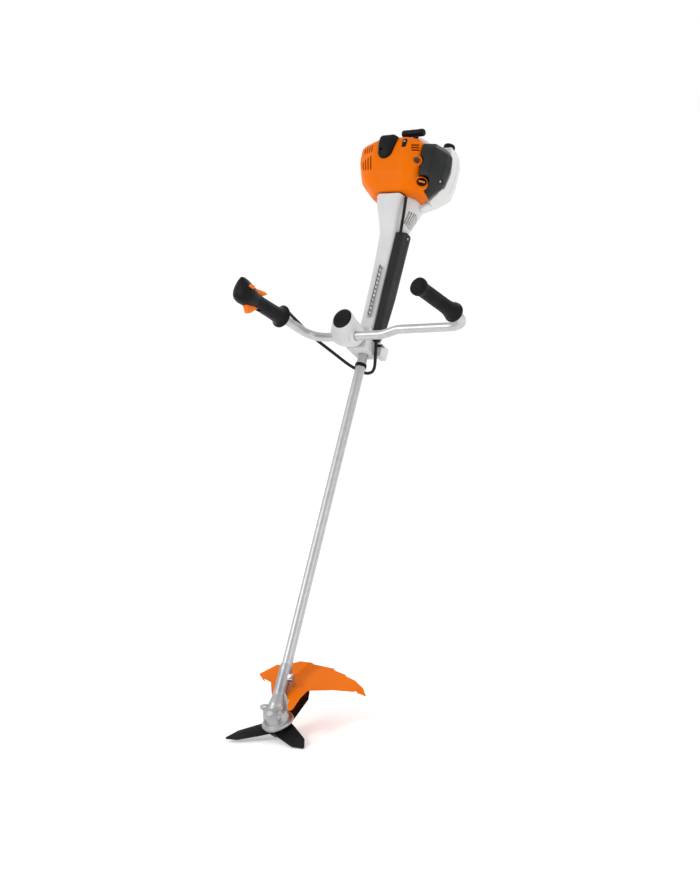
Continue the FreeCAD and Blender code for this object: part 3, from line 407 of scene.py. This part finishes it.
# ---- cables and rope --------------------------------------------------------------
# Diameters and lengths here are in metres; the routes are in the machine's axes.
CABLE = 0.009
CORD = 0.0035
UPPER_CABLE = [(-114, 1080, 235), (-121, 1083, 194), (-127, 1087, 153), (-133, 1088, 112),
               (-126, 1083, 76), (-103, 1070, 53)]
MIDDLE_CABLE = [(-103, 1070, 53), (-80, 1057, 30), (-61, 1046, 8), (-44, 1037, -14), (-24, 1031, -31)]
LOWER_CABLE = [(-24, 1031, -31), (-10, 1026.8, -42.9), (12, 1029, -43), (27, 1037, -29),
               (37, 1050, -9), (42, 1065, 5), (42, 1084, 11), (39, 1102.8, 12)]
ENGINE_CABLE = [(47, 1436, 33), (50, 1458, 41), (53, 1482, 48), (55, 1508, 55), (55, 1536, 60)]
ROPE = [STARTER_ROPE + OUTWARD * rise for rise in (14.2, 30, 47, 63.9)]


def smooth_line(points):
    """The points of a smooth NURBS line through a route, in the row frame."""
    curve = bpy.data.curves.new("route", "CURVE")
    curve.dimensions = "3D"
    curve.resolution_u = 16
    spline = curve.splines.new("NURBS")
    spline.points.add(len(points) - 1)
    for knot, point in zip(spline.points, points):
        knot.co = (*(ROW @ Vector(point)), 1)
    spline.order_u = 3
    spline.use_endpoint_u = True
    carrier = bpy.data.objects.new("route", curve)
    line = [corner.co.copy() for corner in bpy.data.meshes.new_from_object(carrier).vertices]
    bpy.data.objects.remove(carrier)
    return line


def cord_tube(name, points, diameter, slot, node, steps=16):
    """A round cord along its route, with its centre line."""
    line = smooth_line(points)
    side = (line[1] - line[0]).cross(Vector((0.3, 0.2, 1))).normalized()
    rings = []
    for number, point in enumerate(line):
        ahead = (line[min(number + 1, len(line) - 1)] - line[max(number - 1, 0)]).normalized()
        side = (side - ahead * side.dot(ahead)).normalized()
        other = ahead.cross(side)
        rings.append([point + (side * math.cos(turn) + other * math.sin(turn)) * diameter / 2
                      for turn in angles_round(steps)])
    piece = skin(name, rings)
    piece.data.materials.append(LOOKS[slot])
    piece.data.shade_smooth()
    piece.data.set_sharp_from_angle(angle=math.radians(60))
    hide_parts(node)
    return piece, line


for node, route, bodies, length in (("throttle_cable", UPPER_CABLE, ("handlebar", "swivel"), 0.195),
                                    ("middle_cable", MIDDLE_CABLE, ("swivel", "machine"), 0.122),
                                    ("lower_cable", LOWER_CABLE, ("machine",), 0.15),
                                    ("engine_cable", ENGINE_CABLE, ("machine",), 0.103)):
    piece, line = cord_tube(node + "_sheath", route, CABLE, "cable_sheath", node)
    if len(bodies) == 2:
        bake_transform(piece)
    else:
        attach(piece, *bodies)
piece, line = cord_tube("starter_rope_line", ROPE, CORD, "starter_cord", "starter_rope", 12)
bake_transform(piece)


# ---- engine covers ----------------------------------------------------------------
def slots(name, middle, normal, along, spread, lengths, pitch, half, depth=9):
    """Straight cutters side by side on a face, each with its own length."""
    place = facing(middle, normal, along)
    shift = (len(lengths) - 1) / 2
    return [box("%s_%d" % (name, number), (half, length / 2, depth),
                place @ Matrix.Translation(Vector(spread) * pitch * (number - shift)))
            for number, length in enumerate(lengths)]


def lofted(name, sections, crease=0.4, ends=0.7):
    """A smooth solid through sections square to the shaft, its corners held by their creases."""
    form = skin(name, [[(x, station, z) for x, z in sections[station]] for station in sorted(sections)])
    first, last = min(sections), max(sections)
    hold = form.data.attributes.new("crease_edge", "FLOAT", "EDGE")
    for number, edge in enumerate(form.data.edges):
        stations = {round(form.data.vertices[corner].co.y, 3) for corner in edge.vertices}
        hold.data[number].value = ends if stations <= {first} or stations <= {last} else crease
    smooth = form.modifiers.new("smooth", "SUBSURF")
    smooth.levels = 3
    smooth.render_levels = 3
    return applied(form)


def drawn_in(sections, wall, open_below=False):
    """The same sections drawn towards their middle by a wall's thickness, for the room inside."""
    room = {}
    drop = wall * 6 if open_below else 0
    for station, points in sections.items():
        across = [x for x, z in points]
        height = [z for x, z in points]
        middle = Vector(((min(across) + max(across)) / 2, (min(height) + max(height)) / 2))
        share = 1 - 2 * wall / min(max(across) - min(across), max(height) - min(height))
        moved = [middle + (Vector(point) - middle) * share for point in points]
        room[station] = [(x, z - drop if z < middle.y else z) for x, z in moved]
    low, high = min(sections), max(sections)
    room[low + wall] = room.pop(low)
    room[high - wall] = room.pop(high)
    return room


# Sections square to the shaft: (X, Z) corners at each distance along it.
SHROUD = {
    1545: [(-60, 2), (-68, 42), (-50, 76), (-26, 92), (48, 92), (86, 80), (104, 56), (98, 22)],
    1592: [(-112, 2), (-111, 58), (-83, 96), (-44, 113), (58, 114), (86, 98), (98, 68), (94, 22)],
    1645: [(-122, 4), (-127, 60), (-110, 94), (-54, 119), (62, 119), (87, 98), (93, 72), (92, 22)],
    1694: [(-121, 14), (-126, 68), (-115, 92), (-54, 118), (54, 117), (85, 95), (89, 72), (88, 22)],
    1709: [(-98, 18), (-103, 66), (-92, 89), (-46, 109), (42, 108), (73, 91), (80, 66), (78, 22)],
}
FILTER_COVER = {
    1549: [(101, 24), (113, 24), (119, 34), (119, 44), (114, 55), (101, 58)],
    1580: [(98, 0), (121, 1), (144, 21), (145, 42), (130, 74), (98, 80)],
    1597: [(95, -9), (130, -10), (149, 18), (150, 42), (131, 82), (96, 88)],
    1645: [(94, -14), (137, -14), (155, 18), (152, 42), (132, 88), (92, 94)],
    1680: [(90, -13), (135, -12), (153, 20), (150, 42), (130, 86), (88, 93)],
    1696: [(88, -5), (122, -3), (143, 24), (141, 42), (126, 78), (86, 86)],
}
NECK = {
    1129: [(-18, -20), (24, -20), (30, -8), (30, 22), (22, 30), (-12, 30), (-20, 22), (-22, -8)],
    1315: [(-16, -34), (22, -34), (30, -22), (30, 25), (22, 33), (-12, 34), (-20, 27), (-22, -20)],
    1440: [(-19, -36), (24, -36), (30, -24), (30, 30), (24, 40), (-14, 42), (-24, 33), (-25, -20)],
    1490: [(-24, -38), (26, -38), (33, -24), (37, 46), (31, 59), (-17, 62), (-27, 48), (-28, -20)],
    1520: [(-32, -42), (32, -42), (40, -25), (45, 54), (38, 72), (-20, 75), (-33, 60), (-36, -20)],
    1541: [(-42, -44), (38, -44), (46, -26), (50, 62), (45, 80), (-26, 84), (-42, 68), (-46, -20)],
}
HIP_PAD = {
    1103: [(31.8, -5), (39, -6), (44, 2), (45, 16), (39, 27), (31.8, 28)],
    1136: [(31.8, -23), (39, -23), (45, -12), (46, 14), (39, 28), (31.8, 29)],
    1250: [(30.4, -31), (40, -31), (46, -18), (47, 16), (39, 31), (30.4, 31)],
    1452: [(30.4, -31), (41, -31), (47, -18), (48, 18), (40, 33), (30.4, 33)],
}


def engine_shroud():
    """The orange cover with its lobes, vents, catch and apron, and dark baffles behind the vents."""
    shell = combine(lofted("shell", SHROUD),
                    [lofted("room", drawn_in(SHROUD, wall=3.4, open_below=True))])
    seat = box("hood_seat", (27, 33, 5), Matrix.Translation((-12, 1675, 108.5)))
    keep = box("apron_room", (40, 9, 60), Matrix.Translation((82, 1547, 26)))
    apron = combine(from_cad("engine_shroud"), [keep], "INTERSECT")
    shell = gathered(shell, [seat, apron])
    choke_lobe = bored("choke_lobe", [(6.6, -24), (19, -24), (21, -6), (20.8, 10), (19.4, 13.4),
                                      (6.6, 13.4)], CHOKE)
    primer_lobe = bored("primer_lobe", [(8.7, -18), (18, -18), (20, -6), (19, 6), (16.6, 12),
                                        (14.6, 13), (13, 10.6), (11.6, 5.6), (8.7, 5)], PRIMER)
    shell = moulded(gathered(shell, [choke_lobe, primer_lobe]), voxel=1.3, passes=5, keep=0.22)
    left_face, right_face = (-0.42, 0, 0.907), (0.62, 0, 0.78)
    vents = slots("low_vent", (-72, 1628, 102), left_face, (-0.15, 1, -0.07), (1, -0.16, 0),
                  lengths=(26, 35, 42, 46), pitch=12, half=3)
    vents += slots("high_vent", (-78, 1676, 102), left_face, (-0.15, 1, -0.07), (1, -0.16, 0),
                   lengths=(17, 22, 24, 25), pitch=11, half=2.9, depth=8)
    vents += slots("side_vent", (76, 1672, 103), right_face, (0.78, 0.28, -0.62), (1, 0, 0),
                   lengths=(24, 24, 24), pitch=8.4, half=2.7, depth=7)
    instead_of("engine_shroud", combine(shell, vents), "shroud_moulding", crease=40)
    for number, (middle, normal, half) in enumerate((((-72, 1646, 98), left_face, (31, 40, 0.8)),
                                                     ((76, 1672, 103), right_face, (15, 15, 0.8)))):
        baffle = box("baffle", half, facing(middle, normal) @ Matrix.Translation((0, 0, -7.5)))
        settle(bevelled(baffle, 0.3), "vent_baffle_%d" % number, "machine", "black_plastic")
    ledge = facing((45, 1682, 117), OUTWARD)
    plate = bevelled(box("catch_plate", (7, 13.5, 2.4), ledge), width=3.2, angle=60, steps=4)
    settle(moulded(plate, voxel=0.6, passes=4), "catch_plate", "machine", "black_plastic")
    screw("catch_screw", facing((46, 1686, 118.6), OUTWARD), 3)
    screw("apron_screw", facing((69, 1543.6, 36), -ALONG, OUTWARD), 3.2)


def plug_hood():
    """The domed hood over the spark plug, round at its front."""
    plan = [(-30, 1711), (-38, 1706), (-40, 1690), (-39, 1672), (-35, 1652)]
    plan += [(-11 - 25 * math.cos(turn), 1657 - 24 * math.sin(turn))
             for turn in [math.radians(20 + 14 * step) for step in range(11)]]
    plan += [(15, 1668), (19, 1690), (19, 1706), (10, 1711)]
    middle = Vector((-11, 1680))
    rings = []
    for share, height in ((0.98, 98), (0.98, 114), (0.95, 121), (0.87, 126), (0.68, 129.5), (0.3, 131)):
        flat = [middle + (Vector(point) - middle) * share for point in plan]
        rings.append([(x, y, height + (y - 1640) * 0.05) for x, y in flat])
    hood = moulded(skin("hood", rings), voxel=1.2, passes=8, keep=0.35)
    dimple = turned("dimple", [(4.2, -3), (4.8, 8)], facing((-21, 1661, 126.4), (-0.1, -0.2, 1)))
    instead_of("plug_cover", combine(hood, [dimple]), "plug_hood")


def filter_cover():
    """The dark air filter cover, cut round the two lobes, with its sunk screw and three ribs."""
    cover = combine(lofted("cover", FILTER_COVER, crease=0.5, ends=0.8),
                    [lofted("room", drawn_in(FILTER_COVER, wall=3))])
    seat = facing((144.5, 1591, 40), (1, -0.25, 0.1))
    recess = turned("recess", [(6.4, -3.4), (7, 8)], seat)
    rooms = [rod("choke_room", 21.2, -40, 40, CHOKE, 72), rod("primer_room", 20.6, -40, 40, PRIMER, 72)]
    instead_of("filter_cover", combine(cover, [recess, *rooms]), "filter_cover_moulding", crease=40)
    screw("cover_screw", seat @ Matrix.Translation((0, 0, -3.6)), 4.2)
    low_face = facing((123, 1562, 37), (0.79, -0.61, 0.1), (0.61, 0.79, -0.47))
    ribs = [box("rib", (0.9, 11, 2.4), low_face @ Matrix.Translation((7 * row, 2 * row, 0)))
            for row in (-1, 0, 1)]
    ribs = [bevelled(rib, 0.5) for rib in ribs]
    settle(gathered(ribs[0], ribs[1:]), "cover_ribs", "machine", "black_plastic")


def tank():
    """The fuel tank with its shoulder, side band, seam and parting groove, and its ribbed cap."""
    shoulder = slab("shoulder", [(50, 1578), (78, 1577), (116, 1598), (125, 1640), (125, 1708),
                                 (114, 1742), (50, 1742)], -60, -15)
    band = slab("band", [(56, 1550), (66, 1530), (74, 1529), (101, 1545), (124, 1572), (124, 1606),
                         (84, 1606)], -20, 1)
    lip = slab("lip", [(88, 1552), (102, 1547), (124, 1572), (133, 1590), (118, 1604), (96, 1580)],
               -18, 8)
    body = moulded(gathered(from_cad("fuel_tank"), [shoulder, band, lip]),
                   voxel=1.9, passes=10, keep=0.2)
    seam = box("seam", (1.1, 40, 22), facing((92, 1551, 0), (0.7, -0.7, 0), OUTWARD))
    groove = combine(box("rim", (140, 120, 0.9), Matrix.Translation((0, 1667, -57))),
                     [box("inner", (112, 98, 3), Matrix.Translation((6, 1667, -57)))])
    instead_of("fuel_tank", combine(body, [seam, groove]), "tank_moulding", crease=40)
    cap_place = facing((66, 1772.4, -76), ALONG, OUTWARD)
    cap = turned("cap", [(0.01, 0), (16.2, 0), (17, 2), (17, 13), (15.8, 16.2), (12, 17.6),
                         (0.01, 17.9)], cap_place)
    ribs = ridges("cap_rib", 16.5, count=20, depth=1, low=2, high=14, place=cap_place)
    bar = box("cap_bar", (3, 13, 3), cap_place @ Matrix.Translation((0, 0, 14.6)))
    cap = moulded(gathered(cap, [*ribs, bar]), voxel=0.6, passes=3, keep=0.4)
    instead_of("fuel_cap", cap, "ribbed_cap")


def starter():
    """The starter's cover with its cooling slots, and the pull grip."""
    place = facing((0, 1708.5, 0), ALONG, OUTWARD)
    cover = moulded(from_cad("starter_housing"), voxel=1.3, passes=8, keep=0.25)
    gaps = []
    for number in range(18):
        turn = Matrix.Rotation(FULL_TURN * (number + 0.5) / 18, 4, "Z")
        gaps.append(box("gap_%d" % number, (2.2, 11, 6),
                        place @ turn @ Matrix.Translation((0, 30, 49))))
    instead_of("starter_housing", combine(cover, gaps), "starter_cover", crease=40)
    grip_place = facing(STARTER_ROPE + Vector((-35, 1, 86)), ACROSS, ALONG)
    handle = turned("handle", [(0.01, 0), (9.4, 0.6), (11.6, 4), (11.9, 12), (11.2, 26), (11.6, 36),
                               (11.2, 46), (11.9, 60), (11.6, 68), (9.4, 71.4), (0.01, 72)],
                    grip_place, 0.94)
    stem = turned("stem", [(5.6, 64), (7, 66), (7, 72), (9.4, 82), (9.4, 86)],
                  facing(STARTER_ROPE, OUTWARD))
    handle = moulded(gathered(handle, [stem]), voxel=0.7, passes=6, keep=0.4)
    instead_of("starter_grip", handle, "pull_handle")


def controls():
    """The choke's ring and orange bar, and the primer's rubber dome."""
    knob = bored("knob_ring", [(0.01, 0), (6, 0), (6, 14), (14, 14), (14.6, 17), (14, 20.6),
                               (11.4, 20.6), (10.8, 16.6), (0.01, 16.6)], CHOKE, 0.82)
    instead_of("choke_knob", knob, "choke_ring")
    bar = slab("bar", [(-9, -2.6), (9, -2.6), (9.6, 0), (9, 2.6), (-9, 2.6), (-9.6, 0)], 16.4, 20.4,
               CHOKE)
    settle(bevelled(bar, 0.8), "choke_bar", "choke", "orange_lever")
    dome = [(8 * math.cos(turn), 12.5 + 8 * math.sin(turn))
            for turn in [math.radians(9 * step) for step in range(10)]]
    bulb = turned("bulb", [(0.01, 0), (8, 0), *dome, (0.01, 20.5)], PRIMER)
    instead_of("primer_bulb", bulb, "primer_dome", crease=60)


# ---- neck, clutch cone and pad ------------------------------------------------------
def neck():
    """The long white shell, a black slab standing in for the shadow gap above it (painted shade), the
    vented cone and the hip pad.
    """
    instead_of("top_shell", lofted("neck", NECK, crease=0.35), "neck_moulding", crease=40)
    cone = from_cad("clutch_housing")
    gaps = []
    for start in (-24, 146):
        for number in range(7):
            turn = Matrix.Rotation(math.radians(start + 9 * number), 4, "Y")
            gaps.append(box("gap_%d_%d" % (start, number), (18, 25 - 2 * abs(number - 3), 2.3),
                            Matrix.Translation((0, 1492, 0)) @ turn @ Matrix.Translation((58, 0, 0))))
    cone = combine(cone, gaps)
    instead_of("clutch_housing", moulded(cone, voxel=1.2, passes=3, keep=0.3), "vented_cone", crease=40)
    # Painted shade: a black slab fills the gap between the neck's top and the shroud, standing in for the
    # shadow that falls there.
    outline = [(-37, -56), (-36, -66), (-22, -79), (44, -74), (47, -60), (47, -48), (40, -48),
               (40, -56)]
    gap_shade_slab = slab("gap_shade_slab", outline, -3.4, 3.4, facing((0, 1544.6, 0), ALONG, -OUTWARD))
    settle(moulded(gap_shade_slab, voxel=0.9, passes=3), "neck_gap_shade", "machine", "black_plastic")
    wedge = box("wedge", (40, 60, 20),
                facing((39, 1455, -5), (0, 0.913, 0.407)) @ Matrix.Translation((0, 0, 20)))
    cushion = combine(lofted("pad", HIP_PAD, crease=0.6, ends=1), [wedge])
    pad = instead_of("hip_pad", cushion, "hip_cushion")
    screw("pad_screw", facing((45, 1438, -8), (0.9, 0, -0.25)), 3.6)


# ---- handlebar ----------------------------------------------------------------------
def turning_mount():
    """The egg-shaped dome, its bar collar and knurled knob, and the clamp block with its seam."""
    rings = []
    for wide, deep, height, side, centre in (
            (5.3, 5.3, 0, 0, 1105), (22, 25, 0, 0, 1093), (29, 31, 5, -1, 1092),
            (34.5, 36, 16, -3, 1090.5), (39.5, 40.5, 30, -6, 1089), (42.4, 43, 44, -7, 1087),
            (43, 44.6, 57, -7, 1086.5), (40.8, 42, 70, -4.5, 1090.5), (36, 37, 81, -2, 1097.5),
            (32.2, 32.8, 88, -0.5, 1103.4), (30.6, 30.8, 91.5, 0, 1105), (29.2, 29.2, 91.2, 0, 1105),
            (29, 29, 84, 0, 1105), (5.3, 5.3, 84, 0, 1105)):
        rings.append([(side + wide * math.cos(turn), centre + deep * math.sin(turn), 47.4 + height)
                      for turn in angles_round(72)])
    bar_way = rod("bar_way", 13.2, -70, 70, BAR_LINE)
    instead_of("swivel_dome", combine(looped("dome", rings), [bar_way]), "dome_moulding", crease=30)
    collar = bored("collar", [(13.3, 24), (17.2, 24), (17.2, 34.6), (16.2, 36.4), (13.3, 36.4)],
                   BAR_LINE)
    settle(collar, "bar_collar", "swivel", "white_shell")
    place = facing((0, 1105, 101.6), OUTWARD)
    knob = turned("knob_disc", [(4.9, 0), (4.9, 29), (27, 30), (27.8, 32), (27.8, 37), (26, 39.6),
                                (22, 40.2), (0.01, 39.4)], place)
    grips = ridges("knob_rib", 26.8, count=28, depth=1.3, low=30.5, high=38.5, place=place)
    for number in range(9):
        offset = (number - 4) * 4.6
        half = math.sqrt(21 ** 2 - offset ** 2)
        grips.append(box("knob_bar_%d" % number, (half, 1.1, 1.3),
                         place @ Matrix.Translation((0, offset, 39.6))))
    knob = moulded(gathered(knob, grips), voxel=0.6, passes=2, keep=0.4)
    instead_of("clamp_knob", knob, "knurled_knob")
    block = moulded(from_cad("handle_clamp"), voxel=1.2, passes=9, keep=0.3)
    instead_of("handle_clamp", block, "clamp_block")
    cheek = box("cheek", (8, 17, 15), Matrix.Translation((32, 1084, -23)))
    cheek = moulded(gathered(from_cad("clamp_side_block"), [cheek]), voxel=1.2, passes=6, keep=0.3)
    instead_of("clamp_side_block", cheek, "clamp_side_moulding")
    strips = [box("strip", (1.6, 2, 30), Matrix.Translation((31.4, 1100.4, 14))),
              box("side_strip", (8.4, 1.8, 9), Matrix.Translation((42, 1093, -10)))]
    settle(bevelled(gathered(strips[0], strips[1:]), 0.6), "clamp_seam", "machine", "black_plastic")


def plain_grip():
    """The left-hand grip: a ribbed barrel between a collar and an end disc."""
    place = GRIPS["plain"]
    outline = [(12.8, 0), (22, 0), (26.4, 2), (28, 7), (28, 10), (25.8, 13), (25.4, 17), (23, 26),
               (20.8, 38), (19.6, 62), (19, 110), (19.4, 144), (21.5, 152), (24.5, 158), (25.6, 165),
               (24.4, 171), (20, 174.2), (12, 175), (0.01, 175)]
    barrel = turned("barrel", outline, place)
    flutes = ridges("flute", 19.2, count=14, depth=1.2, low=30, high=148, place=place)
    grip = moulded(gathered(barrel, flutes), voxel=1.0, passes=3, keep=0.35)
    instead_of("left_grip", grip, "plain_grip")


def control_grip():
    """The right-hand grip: a round barrel under a teardrop head, its stop slider and two levers."""
    place = GRIPS["control"]
    rings = []
    for half, low, high, height in (
            (25, 25, 28, 0), (29.5, 30, 35, 3.5), (29.5, 30, 35, 8.5), (25, 25, 28, 13),
            (22, 22, 22, 22), (20.4, 20, 20, 60), (21, 20.6, 20.6, 100), (22, 22, 21, 126),
            (26, 26, 27, 142), (29.5, 29, 35, 158), (30, 29.5, 41, 172), (27, 27, 43, 184),
            (20, 21, 41, 192.5), (9, 10, 32, 197)):
        ring = []
        for turn in angles_round(64):
            reach = high if math.sin(turn) > 0 else low
            narrow = 1 - 0.16 * max(0, (high - low) / 10) * max(0, math.sin(turn)) ** 2
            ring.append((half * narrow * math.cos(turn), reach * math.sin(turn), height))
        rings.append(ring)
    grip = skin("grip", rings, place)
    bar_room = rod("bar_room", 12.7, -5, 150, place)
    levers = [box("trigger_room", (8, 10.5, 30), place @ Matrix.Translation((0, -25.5, 127))),
              box("lockout_room", (7, 10, 27), place @ Matrix.Translation((0, 25, 112)))]
    grip = combine(grip, [bar_room, *levers])
    flutes = ridges("flute", 20.4, count=12, depth=1.1, low=26, high=84,
                    place=place @ Matrix.Rotation(math.radians(15), 4, "Z"))
    grip = moulded(gathered(grip, flutes), voxel=1.0, passes=4, keep=0.35)
    button_place = place @ facing((23.5, 16, 172), (0.78, 0.42, 0.46), OUTWARD)
    well = turned("well", [(6.2, -3), (6.2, 30)], button_place, 1.7)
    instead_of("control_grip", combine(grip, [well]), "control_grip_moulding")
    button = turned("button", [(5.4, -8), (5.6, 4), (5, 6.6), (3.4, 7.8), (0.01, 8)],
                    button_place, 1.65)
    instead_of("stop_button", button, "stop_slider")
    for node, pivot, shift, stretch in (("throttle_trigger", (0, -28, 142), (0, 1, 15), 0.86),
                                        ("throttle_lockout", (0, 26, 132), (0, 3, 4), 1.5)):
        lever = from_cad(node)
        lever.data.transform(place @ Matrix.Translation(Vector(pivot) + Vector(shift))
                             @ Matrix.Diagonal((1, 1, stretch, 1)) @ Matrix.Translation(-Vector(pivot))
                             @ place.inverted())
        instead_of(node, bevelled(lever, 1.4), node.replace("throttle", "orange"))


# ---- cutting head -------------------------------------------------------------------
def gearhead():
    """The cast gearhead with its flange, web and bosses, and its filler plug."""
    flange = bored("flange", [(30, -30), (38, -30), (43.6, -27.6), (44.2, -24), (42.4, -20.6),
                              (38, -19), (30, -19)], OUTPUT)
    # Facing ALONG with ALONG as its top closes this ring to a line: it adds only a sliver in the bore.
    step = bored("step", [(16.2, 128), (18.4, 129), (18.6, 134), (18.2, 139), (14.3, 139.4), (14.3, 128)],
                 facing((0, 0, 0), ALONG))
    web = skin("web", [[(8, 4, low), (18, 60, low + 15), (40, 20, low + 6)] for low in (-18, -12)])
    boss = turned("boss", [(8.6, -14), (8.6, 13), (7.4, 15), (0.01, 15.4)],
                  facing((16, -6, 6), (0.5, -0.6, 0.62)))
    plug_place = facing((-36, 14, 8), -ACROSS)
    pad = turned("pad", [(9, -16), (8.6, -0.6), (7.4, 0.4), (0.01, 0.4)], plug_place)
    head = moulded(gathered(from_cad("gear_housing"), [flange, step, web, boss, pad]),
                   voxel=0.9, passes=5, keep=0.3)
    plug_way = rod("plug_way", 4.2, -8, 20, plug_place, 72)
    instead_of("gear_housing", combine(head, [plug_way]), "gearhead_casting", crease=40)
    plug = turned("plug", [(6.8, 0.5), (8.4, 0.8), (8.4, 2), (6.6, 2.2), (6.6, 6.6), (5.6, 7.6),
                           (0.01, 7.8)], plug_place, steps=6)
    instead_of("grease_plug", bevelled(plug, 0.4), "hex_plug")


def guard():
    """The orange guard with a web towards the casting, its corner and its tail cut back."""
    roof = OUTPUT @ Matrix.Translation((0, 0, 18.6))
    web = slab("web", [(34, 34), (27, 79), (8, 79), (10, 62), (21, 43)], 0, 4, roof)
    form = moulded(gathered(from_cad("deflector_guard"), [web]), voxel=1.2, passes=4, keep=0.25)
    corner = box("corner", (60, 80, 20), roof @ facing((-91, 130, -24), (-0.643, 0, -0.766)) @
                 Matrix.Translation((0, 0, 20)))
    tail = box("tail", (17, 6, 14), roof @ facing((220.5, 91, -12), (-0.567, -0.347, -0.744),
                                                  (0.52, -0.85, 0)) @ Matrix.Translation((0, 0, 14)))
    instead_of("deflector_guard", combine(form, [corner, tail]), "guard_moulding", crease=40)


def knife_and_cup():
    """The three-armed knife, cut as one plate, and the rider cup below it."""
    place = OUTPUT @ Matrix.Translation((0, 0, -39.5)) @ Matrix.Rotation(math.radians(205.8), 4, "Z")
    arm = [(18, -28), (45, -27), (75, -24), (116, -20.5), (149, -3), (150, 0), (149, 3), (116, 20.5),
           (75, 24), (45, 27), (18, 28)]
    outline = []
    for turn in angles_round(3):
        outline += [tuple(Matrix.Rotation(turn, 2) @ Vector(point)) for point in arm]
    bore = rod("bore", 10.2, -5, 8, place, 72)
    knife = combine(slab("knife", outline, 0, 3, place), [bore])
    instead_of("brush_knife", bevelled(knife, 0.7), "knife_plate", crease=30)
    cup = bored("cup", [(20.5, 0), (23, -0.2), (26, 2), (30, 8), (33, 14), (33.4, 18), (31, 20),
                        (28, 20.4), (6.2, 20.4), (6.2, 17.6), (28.6, 17.2), (29.4, 14), (26, 8),
                        (22, 2.6)], OUTPUT @ Matrix.Translation((0, 0, -59.95)))
    instead_of("rider_cup", cup, "glide_cup", crease=50)


for build in (engine_shroud, plug_hood, filter_cover, tank, starter, controls, neck, turning_mount,
              plain_grip, control_grip, gearhead, guard, knife_and_cup):
    build()


# ---- the CAD nodes that stay -------------------------------------------------------
# How wide, in millimetres, the edges are rounded on the nodes that show as they are.
KEPT_EDGES = {"muffler": 4, "carburettor": 3, "crankcase": 3, "thrust_plate": 0.5, "collar_nut": 0.6,
              "cable_clip": 0.6, "harness_rail": 0.5, "guard_bracket": 1.2, "gearhead_screws": 0.5,
              "grip_screws": 0.4}
for name, thing in NODES.items():
    thing.data.materials.clear()
    thing.data.materials.append(LOOKS[SLOT_OF[name]])
for name, width in KEPT_EDGES.items():
    merge = NODES[name].modifiers.new("join", "WELD")
    merge.merge_threshold = 0.00001
    flat = NODES[name].modifiers.new("merge", "DECIMATE")
    flat.decimate_type = "DISSOLVE"
    flat.angle_limit = math.radians(1.5)
    edge = NODES[name].modifiers.new("round", "BEVEL")
    edge.width = width * MM
    edge.segments = 2
    edge.limit_method = "ANGLE"
    edge.angle_limit = math.radians(35)


# ---- stage ----------------------------------------------------------------------
# The camera's own axes in the row frame, and the direction behind the machine on the floor.
VIEW_RIGHT = Vector((0.841, 0.5254, -0.1290))
VIEW_UP = Vector((0.0174, 0.2120, 0.9771))
VIEW_BACK = VIEW_RIGHT.cross(VIEW_UP).normalized()
CAMERA_PLACE = (3.5015, -5.5558, 0.7299)
FOCAL, SENSOR = 97.16, 36
FLOOR_GAP = 0.0005


def sweep(name, low, reach, rise):
    """A pale floor that curves up into a backdrop behind the machine, as seen from the camera."""
    steps = [(-reach, 0.0), (reach, 0.0)]
    steps += [(reach + rise * math.sin(turn), rise * (1 - math.cos(turn)))
              for turn in [math.radians(15 * step) for step in range(1, 7)]]
    steps.append((reach + rise, reach * 2))
    away = Vector((-VIEW_BACK.x, -VIEW_BACK.y, 0)).normalized()
    upward = Vector((0, 0, 1))
    side = away.cross(upward)
    corners = [away * out + side * across + upward * (low + height)
               for out, height in steps for across in (-reach * 3, reach * 3)]
    faces = [(row * 2, row * 2 + 1, row * 2 + 3, row * 2 + 2) for row in range(len(steps) - 1)]
    mesh = bpy.data.meshes.new(name)
    mesh.from_pydata(corners, [], faces)
    mesh.shade_smooth()
    paint = surface(name + "_paint", (0.84, 0.84, 0.84), (0.86, 0.86, 0.86), rough=(0.7, 0.8),
                    mottle=1, grain=200)
    shader = paint.node_tree.nodes["Principled BSDF"]
    shader.inputs["Emission Color"].default_value = (1, 1, 1, 1)
    shader.inputs["Emission Strength"].default_value = 0.3
    mesh.materials.append(paint)
    shown(name, mesh)


def softbox(name, place, target, side, power):
    """A square soft light that faces the machine."""
    lamp = bpy.data.lights.new(name, "AREA")
    lamp.size = side
    lamp.energy = power
    thing = shown(name, lamp)
    thing.location = place
    thing.rotation_euler = (Vector(target) - Vector(place)).to_track_quat("-Z", "Y").to_euler()


lens = bpy.data.cameras.new("photo_view")
lens.lens = FOCAL
lens.sensor_width = SENSOR
lens.clip_end = 200
camera = shown("photo_view", lens)
camera.matrix_world = (Matrix.Translation(CAMERA_PLACE)
                       @ Matrix((VIEW_RIGHT, VIEW_UP, VIEW_BACK)).transposed().to_4x4())
scene.camera = camera
scene.view_settings.view_transform = "Standard"

sweep("backdrop", cad_box[0].z - FLOOR_GAP, reach=9, rise=3)
world = bpy.data.worlds.new("studio")
scene.world = world
world.use_nodes = True
daylight = world.node_tree.nodes["Background"].inputs
daylight["Color"].default_value = (1, 1, 1, 1)
daylight["Strength"].default_value = 0.72
softbox("key_light", (-2.6, -4.6, 3.6), (0, 0, -0.1), side=1.6, power=105)
softbox("fill_light", (5.4, -1.6, 1.4), (0, 0, -0.1), side=2.4, power=40)
softbox("rim_light", (1.5, 4.5, 3.2), (0, 0, 0.1), side=2.0, power=60)
